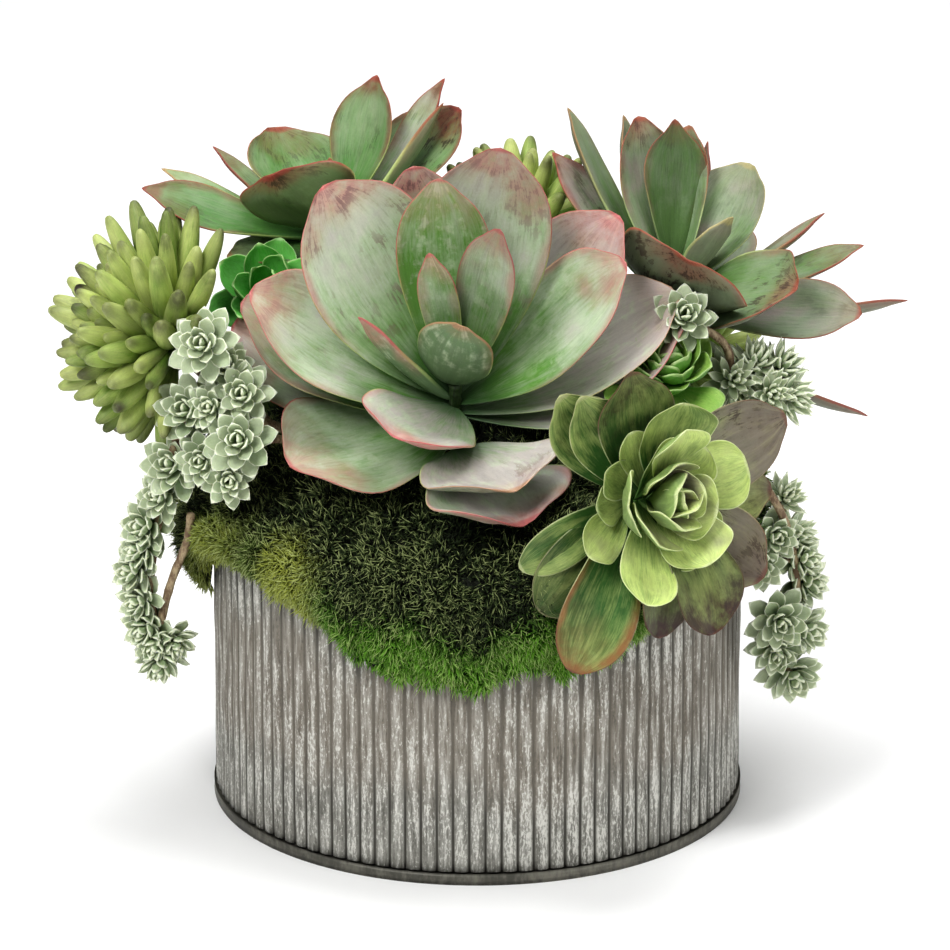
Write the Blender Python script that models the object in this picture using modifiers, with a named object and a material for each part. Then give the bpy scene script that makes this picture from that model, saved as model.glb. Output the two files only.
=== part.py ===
"""Succulent dish garden: rosettes, finger sedum and moss in a round corrugated zinc pot.

Metres, +Z up. The origin is the centre of the pot's flat underside, and -Y is the front.
"""

import math
import random
from collections import namedtuple

import bmesh
import bpy
import numpy as np
from mathutils import Vector

# Driving dimensions of the pot
POT_RADIUS = 0.1016
POT_HEIGHT = 0.117
WALL_THICKNESS = 0.0021
RIB_COUNT = 104
RIB_DEPTH = 0.0011
BASE_HEIGHT = 0.0045
BASE_PLATE = 0.0016
BASE_RADIUS = 0.1023
RIM_BEAD_RADIUS = 0.0018
GAP = 0.0003

# Mound and moss
MOUND_EDGE_HEIGHT = 0.115
MOUND_RISE = 0.034
MOUND_POWER = 2.6
MOSS_EDGE_HEIGHT = 0.122
MOSS_RISE = 0.032
MOSS_RADIUS = 0.106
MOSS_GAP = 0.0006
CROWN_GAP = 0.0013
MOSS_LUMP = 0.0016
HOLE_FLOOR = 0.070

# A leaf style: taper at the base and at the tip, cup across, sag along, thickness, faces
LeafStyle = namedtuple("LeafStyle", "base_taper tip_taper cup sag thickness segments rings")
WIDE_LEAF = LeafStyle(1.05, 0.42, 0.24, 0.06, 0.0036, 4, 6)
HANGING_LEAF = LeafStyle(1.05, 0.42, 0.24, 0.16, 0.0036, 4, 6)
BROAD_LEAF = LeafStyle(1.05, 0.42, 0.24, 0.05, 0.0034, 4, 5)
POINTED_LEAF = LeafStyle(1.50, 0.62, 0.24, 0.06, 0.0032, 4, 5)
SPOON_PETAL = LeafStyle(1.20, 0.36, 0.26, 0.06, 0.0024, 4, 4)
BUD_LEAF = LeafStyle(0.60, 0.50, 0.45, 0.20, 0.0024, 4, 3)
ARCHED_LEAF = LeafStyle(1.05, 0.42, 0.24, -0.10, 0.0034, 4, 5)

# A finger's thickness as a share of its width, and its style
FINGER_ROUNDNESS = 0.90
FINGER_STYLE = LeafStyle(0.28, 0.42, 0.0, 0.04, 0.0, 4, 3)

# Rosettes: the growth point is the foot of the column that the leaves sit on. Each leaf has its
# turn about the axis and lean from it in degrees, length and width in metres, roll in degrees.
# Turn 0 is to the right, seen from the front, and 90 is to the back.
CENTRE_GROWTH = (-0.0084, -0.032, 0.1593)
CENTRE_AXIS = (0.0, -0.50, 0.87)
CENTRE_COLUMN = 0.024
CENTRE_LEAVES = (
    (279, 13, 0.055, 0.025, 24),
    (131, 13, 0.060, 0.016, 40),
    (35, 25, 0.066, 0.024, -20),
    (99, 27, 0.082, 0.036, 10),
    (171, 42, 0.050, 0.016, -60),
    (73, 37, 0.093, 0.050, -15),
    (141, 40, 0.094, 0.056, 15),
    (19, 51, 0.083, 0.046, 0),
    (172, 56, 0.089, 0.046, 8),
    (104, 46, 0.086, 0.042, 0),
    (39, 54, 0.091, 0.050, 8),
    (247, 56, 0.048, 0.044, 8),
    (165, 66, 0.087, 0.047, 3),
    (19, 64, 0.091, 0.048, 0),
    (289, 66, 0.064, 0.053, 14),
    (162, 77, 0.087, 0.050, 8),
    (214, 76, 0.072, 0.060, -6),
    (292, 73, 0.058, 0.056, -25),
    (58, 72, 0.080, 0.048, 0),
    (94, 68, 0.080, 0.048, 0),
    (130, 72, 0.080, 0.048, 0),
)
CENTRE_HANGING_LEAVES = (
    (14, 72, 0.090, 0.048, 10),
)

BACK_LEFT_GROWTH = (-0.0535, 0.026, 0.2115)
BACK_LEFT_AXIS = (-0.12, -0.12, 0.98)
BACK_LEFT_COLUMN = 0.010
BACK_LEFT_ROUND_LEAVES = (
    (119, 54, 0.049, 0.050, -21),
    (225, 38, 0.040, 0.048, -35),
    (34, 62, 0.066, 0.042, 0),
    (198, 85, 0.040, 0.034, -2),
    (62, 76, 0.056, 0.036, 0),
    (100, 78, 0.056, 0.038, 0),
)
BACK_LEFT_POINTED_LEAVES = (
    (80, 16, 0.022, 0.016, 0),
    (260, 16, 0.022, 0.016, 0),
    (55, 38, 0.058, 0.030, 4),
    (25, 52, 0.061, 0.012, 50),
    (33, 51, 0.069, 0.016, 0),
    (142, 64, 0.060, 0.010, -10),
    (158, 70, 0.071, 0.012, 6),
    (176, 69, 0.073, 0.024, 15),
)

BACK_RIGHT_GROWTH = (0.074, 0.0205, 0.189)
BACK_RIGHT_AXIS = (0.20, -0.05, 0.98)
BACK_RIGHT_COLUMN = 0.010
BACK_RIGHT_ROUND_LEAVES = (
    (132, 34, 0.064, 0.026, 0),
    (96, 38, 0.063, 0.020, 37),
    (59, 43, 0.057, 0.036, 7),
    (349, 25, 0.033, 0.022, 27),
    (266, 52, 0.058, 0.045, 18),
    (330, 58, 0.052, 0.041, -75),
    (352, 76, 0.073, 0.030, -39),
    (70, 74, 0.060, 0.036, 0),
    (110, 74, 0.058, 0.036, 0),
)
BACK_RIGHT_POINTED_LEAVES = (
    (145, 50, 0.079, 0.018, -11),
    (156, 57, 0.068, 0.020, 15),
    (129, 42, 0.068, 0.020, -20),
    (117, 27, 0.061, 0.030, -18),
    (84, 46, 0.063, 0.008, 36),
    (28, 60, 0.066, 0.010, 20),
    (15, 68, 0.074, 0.018, -5),
    (358, 84, 0.088, 0.014, 0),
    (350, 108, 0.084, 0.014, 0),
)

AEONIUM_GROWTH = (0.0565, -0.0795, 0.147)
AEONIUM_AXIS = (0.66, -0.70, 0.24)
AEONIUM_COLUMN = 0.030
AEONIUM_OUTER = (
    (143, 76, 0.052, 0.022, 20),
    (115, 70, 0.051, 0.030, 30),
    (137, 83, 0.051, 0.026, 30),
    (26, 72, 0.063, 0.034, -6),
    (326, 71, 0.052, 0.033, -30),
    (2, 79, 0.056, 0.028, 0),
)
AEONIUM_ARCHED = (
    (252, 88, 0.068, 0.028, -10),
    (221, 88, 0.062, 0.030, -10),
    (208, 90, 0.060, 0.024, 0),
    (270, 78, 0.052, 0.034, 8),
    (286, 69, 0.056, 0.040, 11),
)
AEONIUM_INNER = (
    (24, 53, 0.036, 0.026, -6),
    (98, 56, 0.041, 0.031, 14),
    (118, 44, 0.039, 0.022, 15),
    (279, 46, 0.032, 0.026, -25),
    (240, 62, 0.051, 0.023, -18),
    (206, 68, 0.042, 0.016, -35),
    (131, 61, 0.032, 0.013, 15),
)
AEONIUM_CROWN_RADIUS = 0.013

BUD_GROWTH = (0.0755, -0.0195, 0.171)
BUD_AXIS = (0.05, -0.42, 0.90)
BUD_RADIUS = 0.019

BRIGHT_GROWTH = (-0.0769, 0.005, 0.1965)
BRIGHT_AXIS = (-0.15, -0.70, 0.70)
BRIGHT_RADIUS = 0.017

FINGER_LEFT_HEAD = (-0.1155, -0.012, 0.1854)
FINGER_LEFT_AXIS = (-0.80, -0.35, 0.30)
FINGER_LEFT_CLEAR = (0.24, -0.96, -0.16)
CLEAR_ANGLE = 34
FINGER_BACK_HEAD = (0.0165, 0.055, 0.205)
FINGER_BACK_AXIS = (0.0, -0.10, 1.0)

REAR_ECHEVERIA_GROWTH = (0.004, 0.078, 0.150)
REAR_ECHEVERIA_AXIS = (0.0, 0.76, 0.65)
REAR_AEONIUM_GROWTH = (-0.068, 0.057, 0.148)
REAR_AEONIUM_AXIS = (-0.50, 0.70, 0.50)
REAR_FINGER_HEAD = (0.077, 0.070, 0.150)
REAR_FINGER_AXIS = (0.55, 0.75, 0.40)

# A rosette on a trailing stem: where it sits, the way it faces and its radius
LEFT_ROSETTES = (
    ((-0.1027, -0.040, 0.1935), (-0.35, -0.80, 0.50), 0.0140),
    ((-0.1079, -0.048, 0.1699), (-0.35, -0.85, 0.40), 0.0145),
    ((-0.0873, -0.058, 0.1795), (-0.10, -0.90, 0.40), 0.0130),
    ((-0.0883, -0.066, 0.1640), (-0.15, -0.90, 0.40), 0.0145),
    ((-0.1139, -0.045, 0.1473), (-0.40, -0.85, 0.35), 0.0140),
    ((-0.1250, -0.035, 0.1189), (-0.60, -0.75, 0.25), 0.0130),
    ((-0.1298, -0.035, 0.1011), (-0.70, -0.70, 0.10), 0.0120),
    ((-0.1257, -0.035, 0.0780), (-0.50, -0.85, -0.15), 0.0120),
    ((-0.1210, -0.035, 0.0640), (-0.20, -0.70, -0.70), 0.0110),
)
LEFT_STEMS = (
    ((-0.066, -0.034), 0.150, ((-0.088, -0.044, 0.166), (-0.1079, -0.048, 0.166),
                               (-0.1160, -0.043, 0.145), (-0.1210, -0.035, 0.118),
                               (-0.1240, -0.034, 0.095), (-0.1210, -0.034, 0.066))),
    (None, 0.0, ((-0.066, -0.034, 0.150), (-0.074, -0.050, 0.159), (-0.0883, -0.063, 0.164),
                 (-0.0878, -0.056, 0.1775))),
    (None, 0.0, ((-0.088, -0.044, 0.166), (-0.094, -0.040, 0.178), (-0.1027, -0.038, 0.1915))),
)

RIGHT_ROSETTES = (
    ((0.0782, -0.029, 0.2010), (0.20, -0.75, 0.60), 0.0115),
    ((0.0966, -0.016, 0.1711), (0.20, -0.80, 0.50), 0.0135),
    ((0.1054, -0.010, 0.1758), (0.20, -0.40, 0.90), 0.0125),
    ((0.1159, -0.006, 0.1730), (0.60, -0.40, 0.70), 0.0125),
    ((0.1191, -0.012, 0.1620), (0.70, -0.70, 0.00), 0.0125),
    ((0.1126, -0.030, 0.1130), (0.30, -0.90, 0.20), 0.0120),
    ((0.1214, -0.020, 0.1090), (0.70, -0.60, 0.20), 0.0120),
    ((0.1255, -0.022, 0.0915), (0.80, -0.60, 0.00), 0.0120),
    ((0.1145, -0.038, 0.0812), (0.20, -0.95, 0.10), 0.0130),
    ((0.1250, -0.026, 0.0739), (0.70, -0.70, -0.10), 0.0120),
    ((0.1200, -0.030, 0.0570), (0.30, -0.85, -0.30), 0.0130),
)
RIGHT_STEMS = (
    ((0.082, -0.008), 0.150, ((0.092, -0.012, 0.158), (0.1054, -0.010, 0.172), (0.1159, -0.006, 0.168),
                              (0.1191, -0.012, 0.160))),
    (None, 0.0, ((0.082, -0.008, 0.150), (0.094, -0.022, 0.148), (0.112, -0.030, 0.128),
                 (0.1200, -0.026, 0.106), (0.1215, -0.028, 0.082), (0.1190, -0.030, 0.058))),
    (None, 0.0, ((0.092, -0.012, 0.158), (0.096, -0.012, 0.170), (0.093, -0.018, 0.186),
                 (0.0780, -0.027, 0.199))),
)

BACK_ROSETTES = (
    ((0.044, 0.100, 0.1330), (0.20, 0.80, 0.50), 0.0130),
    ((0.034, 0.114, 0.1150), (-0.10, 0.95, 0.20), 0.0130),
    ((0.042, 0.116, 0.0960), (0.20, 0.95, 0.10), 0.0125),
    ((0.034, 0.116, 0.0790), (-0.20, 0.95, -0.10), 0.0120),
    ((0.038, 0.114, 0.0640), (0.10, 0.80, -0.50), 0.0110),
)
BACK_STEMS = (
    ((0.040, 0.080), 0.136, ((0.040, 0.096, 0.136), (0.038, 0.111, 0.118), (0.038, 0.113, 0.095),
                             (0.038, 0.113, 0.066))),
)

STEM_RADIUS = 0.0036
THIN_STEM_RADIUS = 0.0017
STALK_RADIUS = 0.0012
NECK_LENGTH = 0.012
HOLE_CLEARANCE = 0.0010
HOLE_SIDES = 6
FINGER_HEART = 0.015
SMALL_LEAVES = 7
GOLDEN_ANGLE = 137.508


def clear_scene():
    """Remove the objects, meshes and collections of the open scene."""
    for item in list(bpy.data.objects):
        bpy.data.objects.remove(item, do_unlink=True)
    for group in list(bpy.data.collections):
        bpy.data.collections.remove(group)


def new_collection(name):
    """Make a collection and link it to the scene."""
    group = bpy.data.collections.new(name)
    bpy.context.scene.collection.children.link(group)
    return group


def make_material(name, color, roughness, metallic=0.0):
    """Principled material with a base colour, roughness and metallic value."""
    material = bpy.data.materials.new(name)
    material.use_nodes = True
    shader = material.node_tree.nodes["Principled BSDF"]
    shader.inputs["Base Color"].default_value = (*color, 1.0)
    shader.inputs["Roughness"].default_value = roughness
    shader.inputs["Metallic"].default_value = metallic
    return material


def object_from_bmesh(name, mesh_data, group):
    """Put a bmesh into a new object of the collection."""
    mesh = bpy.data.meshes.new(name)
    mesh_data.to_mesh(mesh)
    mesh_data.free()
    item = bpy.data.objects.new(name, mesh)
    group.objects.link(item)
    return item


def evaluated_mesh(item):
    """Mesh of an object with its modifiers applied."""
    bpy.context.view_layer.update()
    graph = bpy.context.evaluated_depsgraph_get()
    return bpy.data.meshes.new_from_object(item.evaluated_get(graph))


def shaped_sphere(name, segments, rings, place, group):
    """UV sphere whose vertices are moved by place(points), an array of unit-sphere points."""
    sphere = bmesh.new()
    bmesh.ops.create_uvsphere(sphere, u_segments=segments, v_segments=rings, radius=1.0)
    points = np.array([vertex.co for vertex in sphere.verts])
    moved = place(points)
    for vertex, co in zip(sphere.verts, moved):
        vertex.co = co
    return object_from_bmesh(name, sphere, group)


def rosette_frame(axis):
    """Unit axis, the direction of turn 0 and the direction of turn 90."""
    up = Vector(axis).normalized()
    right = (Vector((1.0, 0.0, 0.0)) - up * up.x).normalized()
    return up, right, up.cross(right)


def leaf_frame(axis, turn, lean, roll):
    """Heading, side and face of a leaf whose upper face looks to the rosette's axis."""
    up, right, back = rosette_frame(axis)
    spin = math.radians(turn)
    tilt = math.radians(lean)
    outward = right * math.cos(spin) + back * math.sin(spin)
    heading = up * math.cos(tilt) + outward * math.sin(tilt)
    face = up * math.sin(tilt) - outward * math.cos(tilt)
    side = face.cross(heading)
    twist = math.radians(roll)
    rolled_face = face * math.cos(twist) + side * math.sin(twist)
    return heading, rolled_face.cross(heading), rolled_face


def width_share(along, style):
    """Half-width along the leaf, 1 at its widest: a power rise from the base and fall to the tip."""
    peak = style.base_taper / (style.base_taper + style.tip_taper)
    rise = (along / peak) ** style.base_taper
    fall = ((1.0 - along) / (1.0 - peak)) ** style.tip_taper
    return rise * fall


def make_leaf(name, root, axis, row, style, group):
    """A leaf from a sphere: poles at base and tip, cupped across and sagging along."""
    turn, lean, length, width, roll = row
    heading, side, face = leaf_frame(axis, turn, lean, roll)

    def place(points):
        along = np.clip((1.0 + points[:, 2]) / 2.0, 0.0, 1.0)
        ring = np.sqrt(np.maximum(1.0 - points[:, 2] ** 2, 1e-12))
        across = points[:, 0] / ring
        through = points[:, 1] / ring
        half = 0.5 * width * width_share(along, style)
        body = 0.5 * style.thickness * (1.0 - (2.0 * along - 1.0) ** 6) ** 0.5
        cup = style.cup * half * across ** 2
        sag = -style.sag * length * 4.0 * along * (1.0 - along)
        height = cup + sag + through * body
        moved = np.outer(length * along, heading) + np.outer(half * across, side) + np.outer(height, face)
        return moved + np.array(root)

    return shaped_sphere(name, style.segments, style.rings, place, group)


def finger_style(width):
    """Style of a plump finger leaf of this width."""
    return FINGER_STYLE._replace(thickness=FINGER_ROUNDNESS * width)


def ball(name, centre, radius, group, segments=8, rings=6):
    """Small heart or joint of a plant."""
    return shaped_sphere(name, segments, rings, lambda points: points * radius + np.array(centre), group)


def smooth_route(points, steps):
    """Points on a Catmull-Rom curve through the given ones."""
    route = [Vector(point) for point in points]
    padded = [route[0] * 2.0 - route[1]] + route + [route[-1] * 2.0 - route[-2]]
    result = []
    for index in range(1, len(padded) - 2):
        before, start, end, after = padded[index - 1:index + 3]
        for step in range(steps):
            t = step / steps
            result.append(0.5 * (2.0 * start + (end - before) * t
                                 + (2.0 * before - 5.0 * start + 4.0 * end - after) * t ** 2
                                 + (3.0 * start - before - 3.0 * end + after) * t ** 3))
    result.append(route[-1])
    return result


def tube(name, points, radius, group, steps=1, roundness=1):
    """Round stem: a bevelled curve turned into a closed mesh."""
    route = smooth_route(points, steps)
    curve = bpy.data.curves.new(name, "CURVE")
    curve.dimensions = "3D"
    curve.bevel_depth = radius
    curve.bevel_resolution = roundness
    curve.use_fill_caps = True
    spline = curve.splines.new("POLY")
    spline.points.add(len(route) - 1)
    for point, co in zip(spline.points, route):
        point.co = (*co, 1.0)
    holder = bpy.data.objects.new(name, curve)
    group.objects.link(holder)
    mesh = evaluated_mesh(holder)
    bpy.data.objects.remove(holder, do_unlink=True)
    welded = bmesh.new()
    welded.from_mesh(mesh)
    bmesh.ops.remove_doubles(welded, verts=welded.verts, dist=0.00001)
    bmesh.ops.recalc_face_normals(welded, faces=welded.faces)
    return object_from_bmesh(name, welded, group)


def cylinder(name, centre, radius, bottom, top, group, segments=12):
    """Upright round bar between two heights."""
    bar = bmesh.new()
    bmesh.ops.create_cone(bar, cap_ends=True, segments=segments, radius1=radius, radius2=radius,
                          depth=top - bottom)
    bmesh.ops.translate(bar, verts=bar.verts, vec=(centre[0], centre[1], (top + bottom) / 2.0))
    return object_from_bmesh(name, bar, group)


def keep_main_body(mesh):
    """Drop every shell but the largest, which fills sealed hollows and removes loose scrap."""
    solid = bmesh.new()
    solid.from_mesh(mesh)
    unseen = set(solid.faces)
    shells = []
    while unseen:
        front = [unseen.pop()]
        shell = list(front)
        while front:
            face = front.pop()
            near = {other for edge in face.edges for other in edge.link_faces} & unseen
            unseen -= near
            front.extend(near)
            shell.extend(near)
        shells.append(shell)
    shells.sort(key=len)
    spare = [face for shell in shells[:-1] for face in shell]
    bmesh.ops.delete(solid, geom=spare, context="FACES")
    solid.to_mesh(mesh)
    solid.free()


def fuse(name, pieces, scratch, group, material):
    """Join overlapping pieces into one solid object by a union on their collection."""
    body = pieces[0]
    scratch.objects.unlink(body)
    group.objects.link(body)
    body.name = name
    union = body.modifiers.new("Union", "BOOLEAN")
    union.operation = "UNION"
    union.operand_type = "COLLECTION"
    union.collection = scratch
    union.solver = "MANIFOLD"
    mesh = evaluated_mesh(body)
    keep_main_body(mesh)
    body.modifiers.clear()
    body.data = mesh
    body.data.name = name
    for piece in list(scratch.objects):
        bpy.data.objects.remove(piece, do_unlink=True)
    finish(body, material)
    return body


def finish(item, material):
    """Give an object its material and smooth shading with sharp creases."""
    item.data.materials.clear()
    item.data.materials.append(material)
    item.data.shade_smooth()
    item.data.set_sharp_from_angle(angle=math.radians(40))


def mound_height(x, y):
    """Height of the potting mound above a plan point."""
    share = np.clip(np.hypot(x, y) / (POT_RADIUS - WALL_THICKNESS), 0.0, 1.0)
    return MOUND_EDGE_HEIGHT + MOUND_RISE * (1.0 - share ** MOUND_POWER)


def moss_height(x, y):
    """Height of the moss surface, without its lumps."""
    share = np.clip(np.hypot(x, y) / MOSS_RADIUS, 0.0, 1.0)
    return MOSS_EDGE_HEIGHT + MOSS_RISE * (1.0 - share ** MOUND_POWER)


def bump(angle, centre, spread, power=2):
    """Bump of height 1 at an azimuth, wrapped round the circle; a higher power has steeper sides."""
    turn = np.angle(np.exp(1j * (angle - math.radians(centre))))
    return np.exp(-np.abs(turn / math.radians(spread)) ** power)


def hem_height(angle):
    """Height of the moss's lower edge: a long tongue in front, an overhang at the left, a ragged back."""
    level = 0.1115
    front = 0.031 * bump(angle, 271, 37, 5)
    left = 0.024 * bump(angle, 187, 11)
    back = 0.016 * bump(angle, 75, 14) + 0.010 * bump(angle, 130, 10) + 0.013 * bump(angle, 25, 9)
    ragged = 0.0025 * np.sin(9.0 * angle + 1.0) + 0.0015 * np.sin(17.0 * angle)
    return level - front - left - back + ragged


def lumps(points):
    """Rolling lumps of the moss surface."""
    x, y, z = (points[:, i] for i in range(3))
    broad = np.sin(x * 190 + 1.0) * np.sin(y * 170 + 2.0)
    fine = np.sin(x * 330 + z * 210) * np.sin(y * 350 + 0.5)
    return MOSS_LUMP * (broad + 0.7 * fine)


def make_base(group, material):
    """Base plate with its standing outer ring, turned from a profile."""
    ring_inside = POT_RADIUS - WALL_THICKNESS - 0.001
    profile = [(0.0, BASE_PLATE), (ring_inside, BASE_PLATE), (ring_inside, BASE_HEIGHT),
               (BASE_RADIUS - 0.0008, BASE_HEIGHT), (BASE_RADIUS, BASE_HEIGHT - 0.0008),
               (BASE_RADIUS, 0.0008), (BASE_RADIUS - 0.0008, 0.0), (0.0, 0.0)]
    mesh = bpy.data.meshes.new("pot_base")
    mesh.from_pydata([(x, 0.0, z) for x, z in profile], [(i, i + 1) for i in range(len(profile) - 1)], [])
    item = bpy.data.objects.new("pot_base", mesh)
    group.objects.link(item)
    screw = item.modifiers.new("Screw", "SCREW")
    screw.steps = 28
    screw.render_steps = 28
    screw.use_merge_vertices = True
    screw.merge_threshold = 0.00005
    item.data = evaluated_mesh(item)
    item.modifiers.clear()
    finish(item, material)
    return item


def make_wall(group, cutters, material):
    """Corrugated wall: a many-sided drum with every second edge drawn in, bored through."""
    bottom = BASE_HEIGHT + GAP
    top = POT_HEIGHT - RIM_BEAD_RADIUS - GAP
    drum = bmesh.new()
    bmesh.ops.create_cone(drum, cap_ends=True, segments=2 * RIB_COUNT, radius1=POT_RADIUS,
                          radius2=POT_RADIUS, depth=top - bottom)
    bmesh.ops.translate(drum, verts=drum.verts, vec=(0.0, 0.0, (top + bottom) / 2.0))
    step = math.pi / RIB_COUNT
    for vertex in drum.verts:
        number = round(math.atan2(vertex.co.y, vertex.co.x) / step)
        if number % 2:
            shrink = 1.0 - RIB_DEPTH / POT_RADIUS
            vertex.co.x *= shrink
            vertex.co.y *= shrink
    wall = object_from_bmesh("pot_wall", drum, group)
    inside = POT_RADIUS - WALL_THICKNESS
    bore = cylinder("wall_bore", (0.0, 0.0), inside, bottom - 0.01, top + 0.01, cutters, 52)
    cut = wall.modifiers.new("Bore", "BOOLEAN")
    cut.operation = "DIFFERENCE"
    cut.object = bore
    hide_cutter(bore)
    finish(wall, material)
    return wall


def make_rim(group, material):
    """Rolled bead on the top edge of the wall."""
    bpy.ops.mesh.primitive_torus_add(major_segments=28, minor_segments=5, major_radius=POT_RADIUS - 0.0004,
                                     minor_radius=RIM_BEAD_RADIUS, location=(0.0, 0.0, POT_HEIGHT))
    rim = bpy.context.object
    rim.name = "pot_rim"
    rim.data.name = "pot_rim"
    for holder in list(rim.users_collection):
        holder.objects.unlink(rim)
    group.objects.link(rim)
    finish(rim, material)
    return rim


def hide_cutter(item):
    """Mark an object as a construction guide."""
    item.hide_render = True
    item.display_type = "WIRE"


def bore_holes(item, hole_group):
    """Cut the stem holes out of a solid."""
    cut = item.modifiers.new("Stem holes", "BOOLEAN")
    cut.operation = "DIFFERENCE"
    cut.operand_type = "COLLECTION"
    cut.collection = hole_group
    cut.solver = "MANIFOLD"


def make_mound(group, hole_group, material):
    """Potting mound: fills the pot and is domed above the rim."""
    radius = POT_RADIUS - WALL_THICKNESS - GAP
    floor = BASE_PLATE + GAP

    def place(points):
        turn = np.arctan2(points[:, 1], points[:, 0])
        polar = np.arccos(np.clip(points[:, 2], -1.0, 1.0)) / math.pi
        upper = np.clip(polar / 0.5, 0.0, 1.0)
        lower = np.clip((polar - 0.5) / 0.5, 0.0, 1.0)
        foot = BASE_HEIGHT + 2.0 * GAP
        under = radius * np.clip((1.0 - lower) * 6.0, 0.0, 1.0)
        under = np.where(lower > 0.7, under * (radius - 0.003) / radius, under)
        reach = np.where(polar < 0.51, radius * upper ** 0.8, under)
        x = reach * np.cos(turn)
        y = reach * np.sin(turn)
        top = mound_height(x, y)
        side = MOUND_EDGE_HEIGHT + (foot - MOUND_EDGE_HEIGHT) * np.clip(lower / 0.7, 0.0, 1.0)
        z = np.where(polar < 0.51, top, np.where(lower > 0.8, floor, side))
        return np.stack([x, y, z], axis=1)

    mound = shaped_sphere("potting_mound", 28, 10, place, group)
    bore_holes(mound, hole_group)
    finish(mound, material)
    return mound


def make_moss(group, hole_group, material):
    """Moss mat: a thick skin over the mound that hangs over the rim down to a ragged hem."""
    inner_radius = POT_RADIUS - 0.0004 + RIM_BEAD_RADIUS + MOSS_GAP
    seat = POT_HEIGHT + RIM_BEAD_RADIUS + MOSS_GAP
    shoulder = 0.60

    def place(points):
        turn = np.arctan2(points[:, 1], points[:, 0])
        polar = np.arccos(np.clip(points[:, 2], -1.0, 1.0)) / math.pi
        outer = np.clip(polar / 0.5, 0.0, 1.0)
        inner = np.clip((1.0 - polar) / 0.5, 0.0, 1.0)
        hem = hem_height(turn)
        thick = 0.0045 + 0.0035 * bump(turn, 187, 18) + 0.0015 * bump(turn, 270, 40)

        over = np.clip(outer / shoulder, 0.0, 1.0)
        down = np.clip((outer - shoulder) / (1.0 - shoulder), 0.0, 1.0)
        bulge = thick * np.sin(math.pi * np.minimum(down * 0.9 + 0.12, 1.0))
        reach_out = inner_radius * over ** 0.85 + bulge * (over >= 1)
        height_out = np.where(outer < shoulder, moss_height(inner_radius * over ** 0.85, 0.0),
                              MOSS_EDGE_HEIGHT + (hem - MOSS_EDGE_HEIGHT) * down)

        under = np.clip(inner / shoulder, 0.0, 1.0)
        rise = np.clip((inner - shoulder) / (1.0 - shoulder), 0.0, 1.0)
        reach_in = np.where(inner < shoulder, inner_radius * under ** 0.85, inner_radius)
        soil = mound_height(reach_in, 0.0) + CROWN_GAP
        lip = np.clip((reach_in - 0.090) / 0.006, 0.0, 1.0)
        floor = soil * (1.0 - lip) + np.maximum(seat, soil) * lip
        height_in = np.where(inner < shoulder, np.maximum(floor, soil), seat + (hem - seat) * rise)

        upper = polar <= 0.5
        reach = np.where(upper, reach_out, reach_in)
        z = np.where(upper, height_out, height_in)
        spot = np.stack([reach * np.cos(turn), reach * np.sin(turn), z], axis=1)
        lift = lumps(spot) * np.where(polar < 0.46, 1.0, 0.0)
        z = z + lift * (over < 1)
        swell = np.where((over >= 1) & (polar < 0.46), np.abs(lift) * 0.8, 0.0)
        grow = 1.0 + swell / np.maximum(reach, 0.01)
        return np.stack([reach * grow * np.cos(turn), reach * grow * np.sin(turn), z], axis=1)

    moss = shaped_sphere("moss_mat", 30, 13, place, group)
    bore_holes(moss, hole_group)
    finish(moss, material)
    return moss


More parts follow.
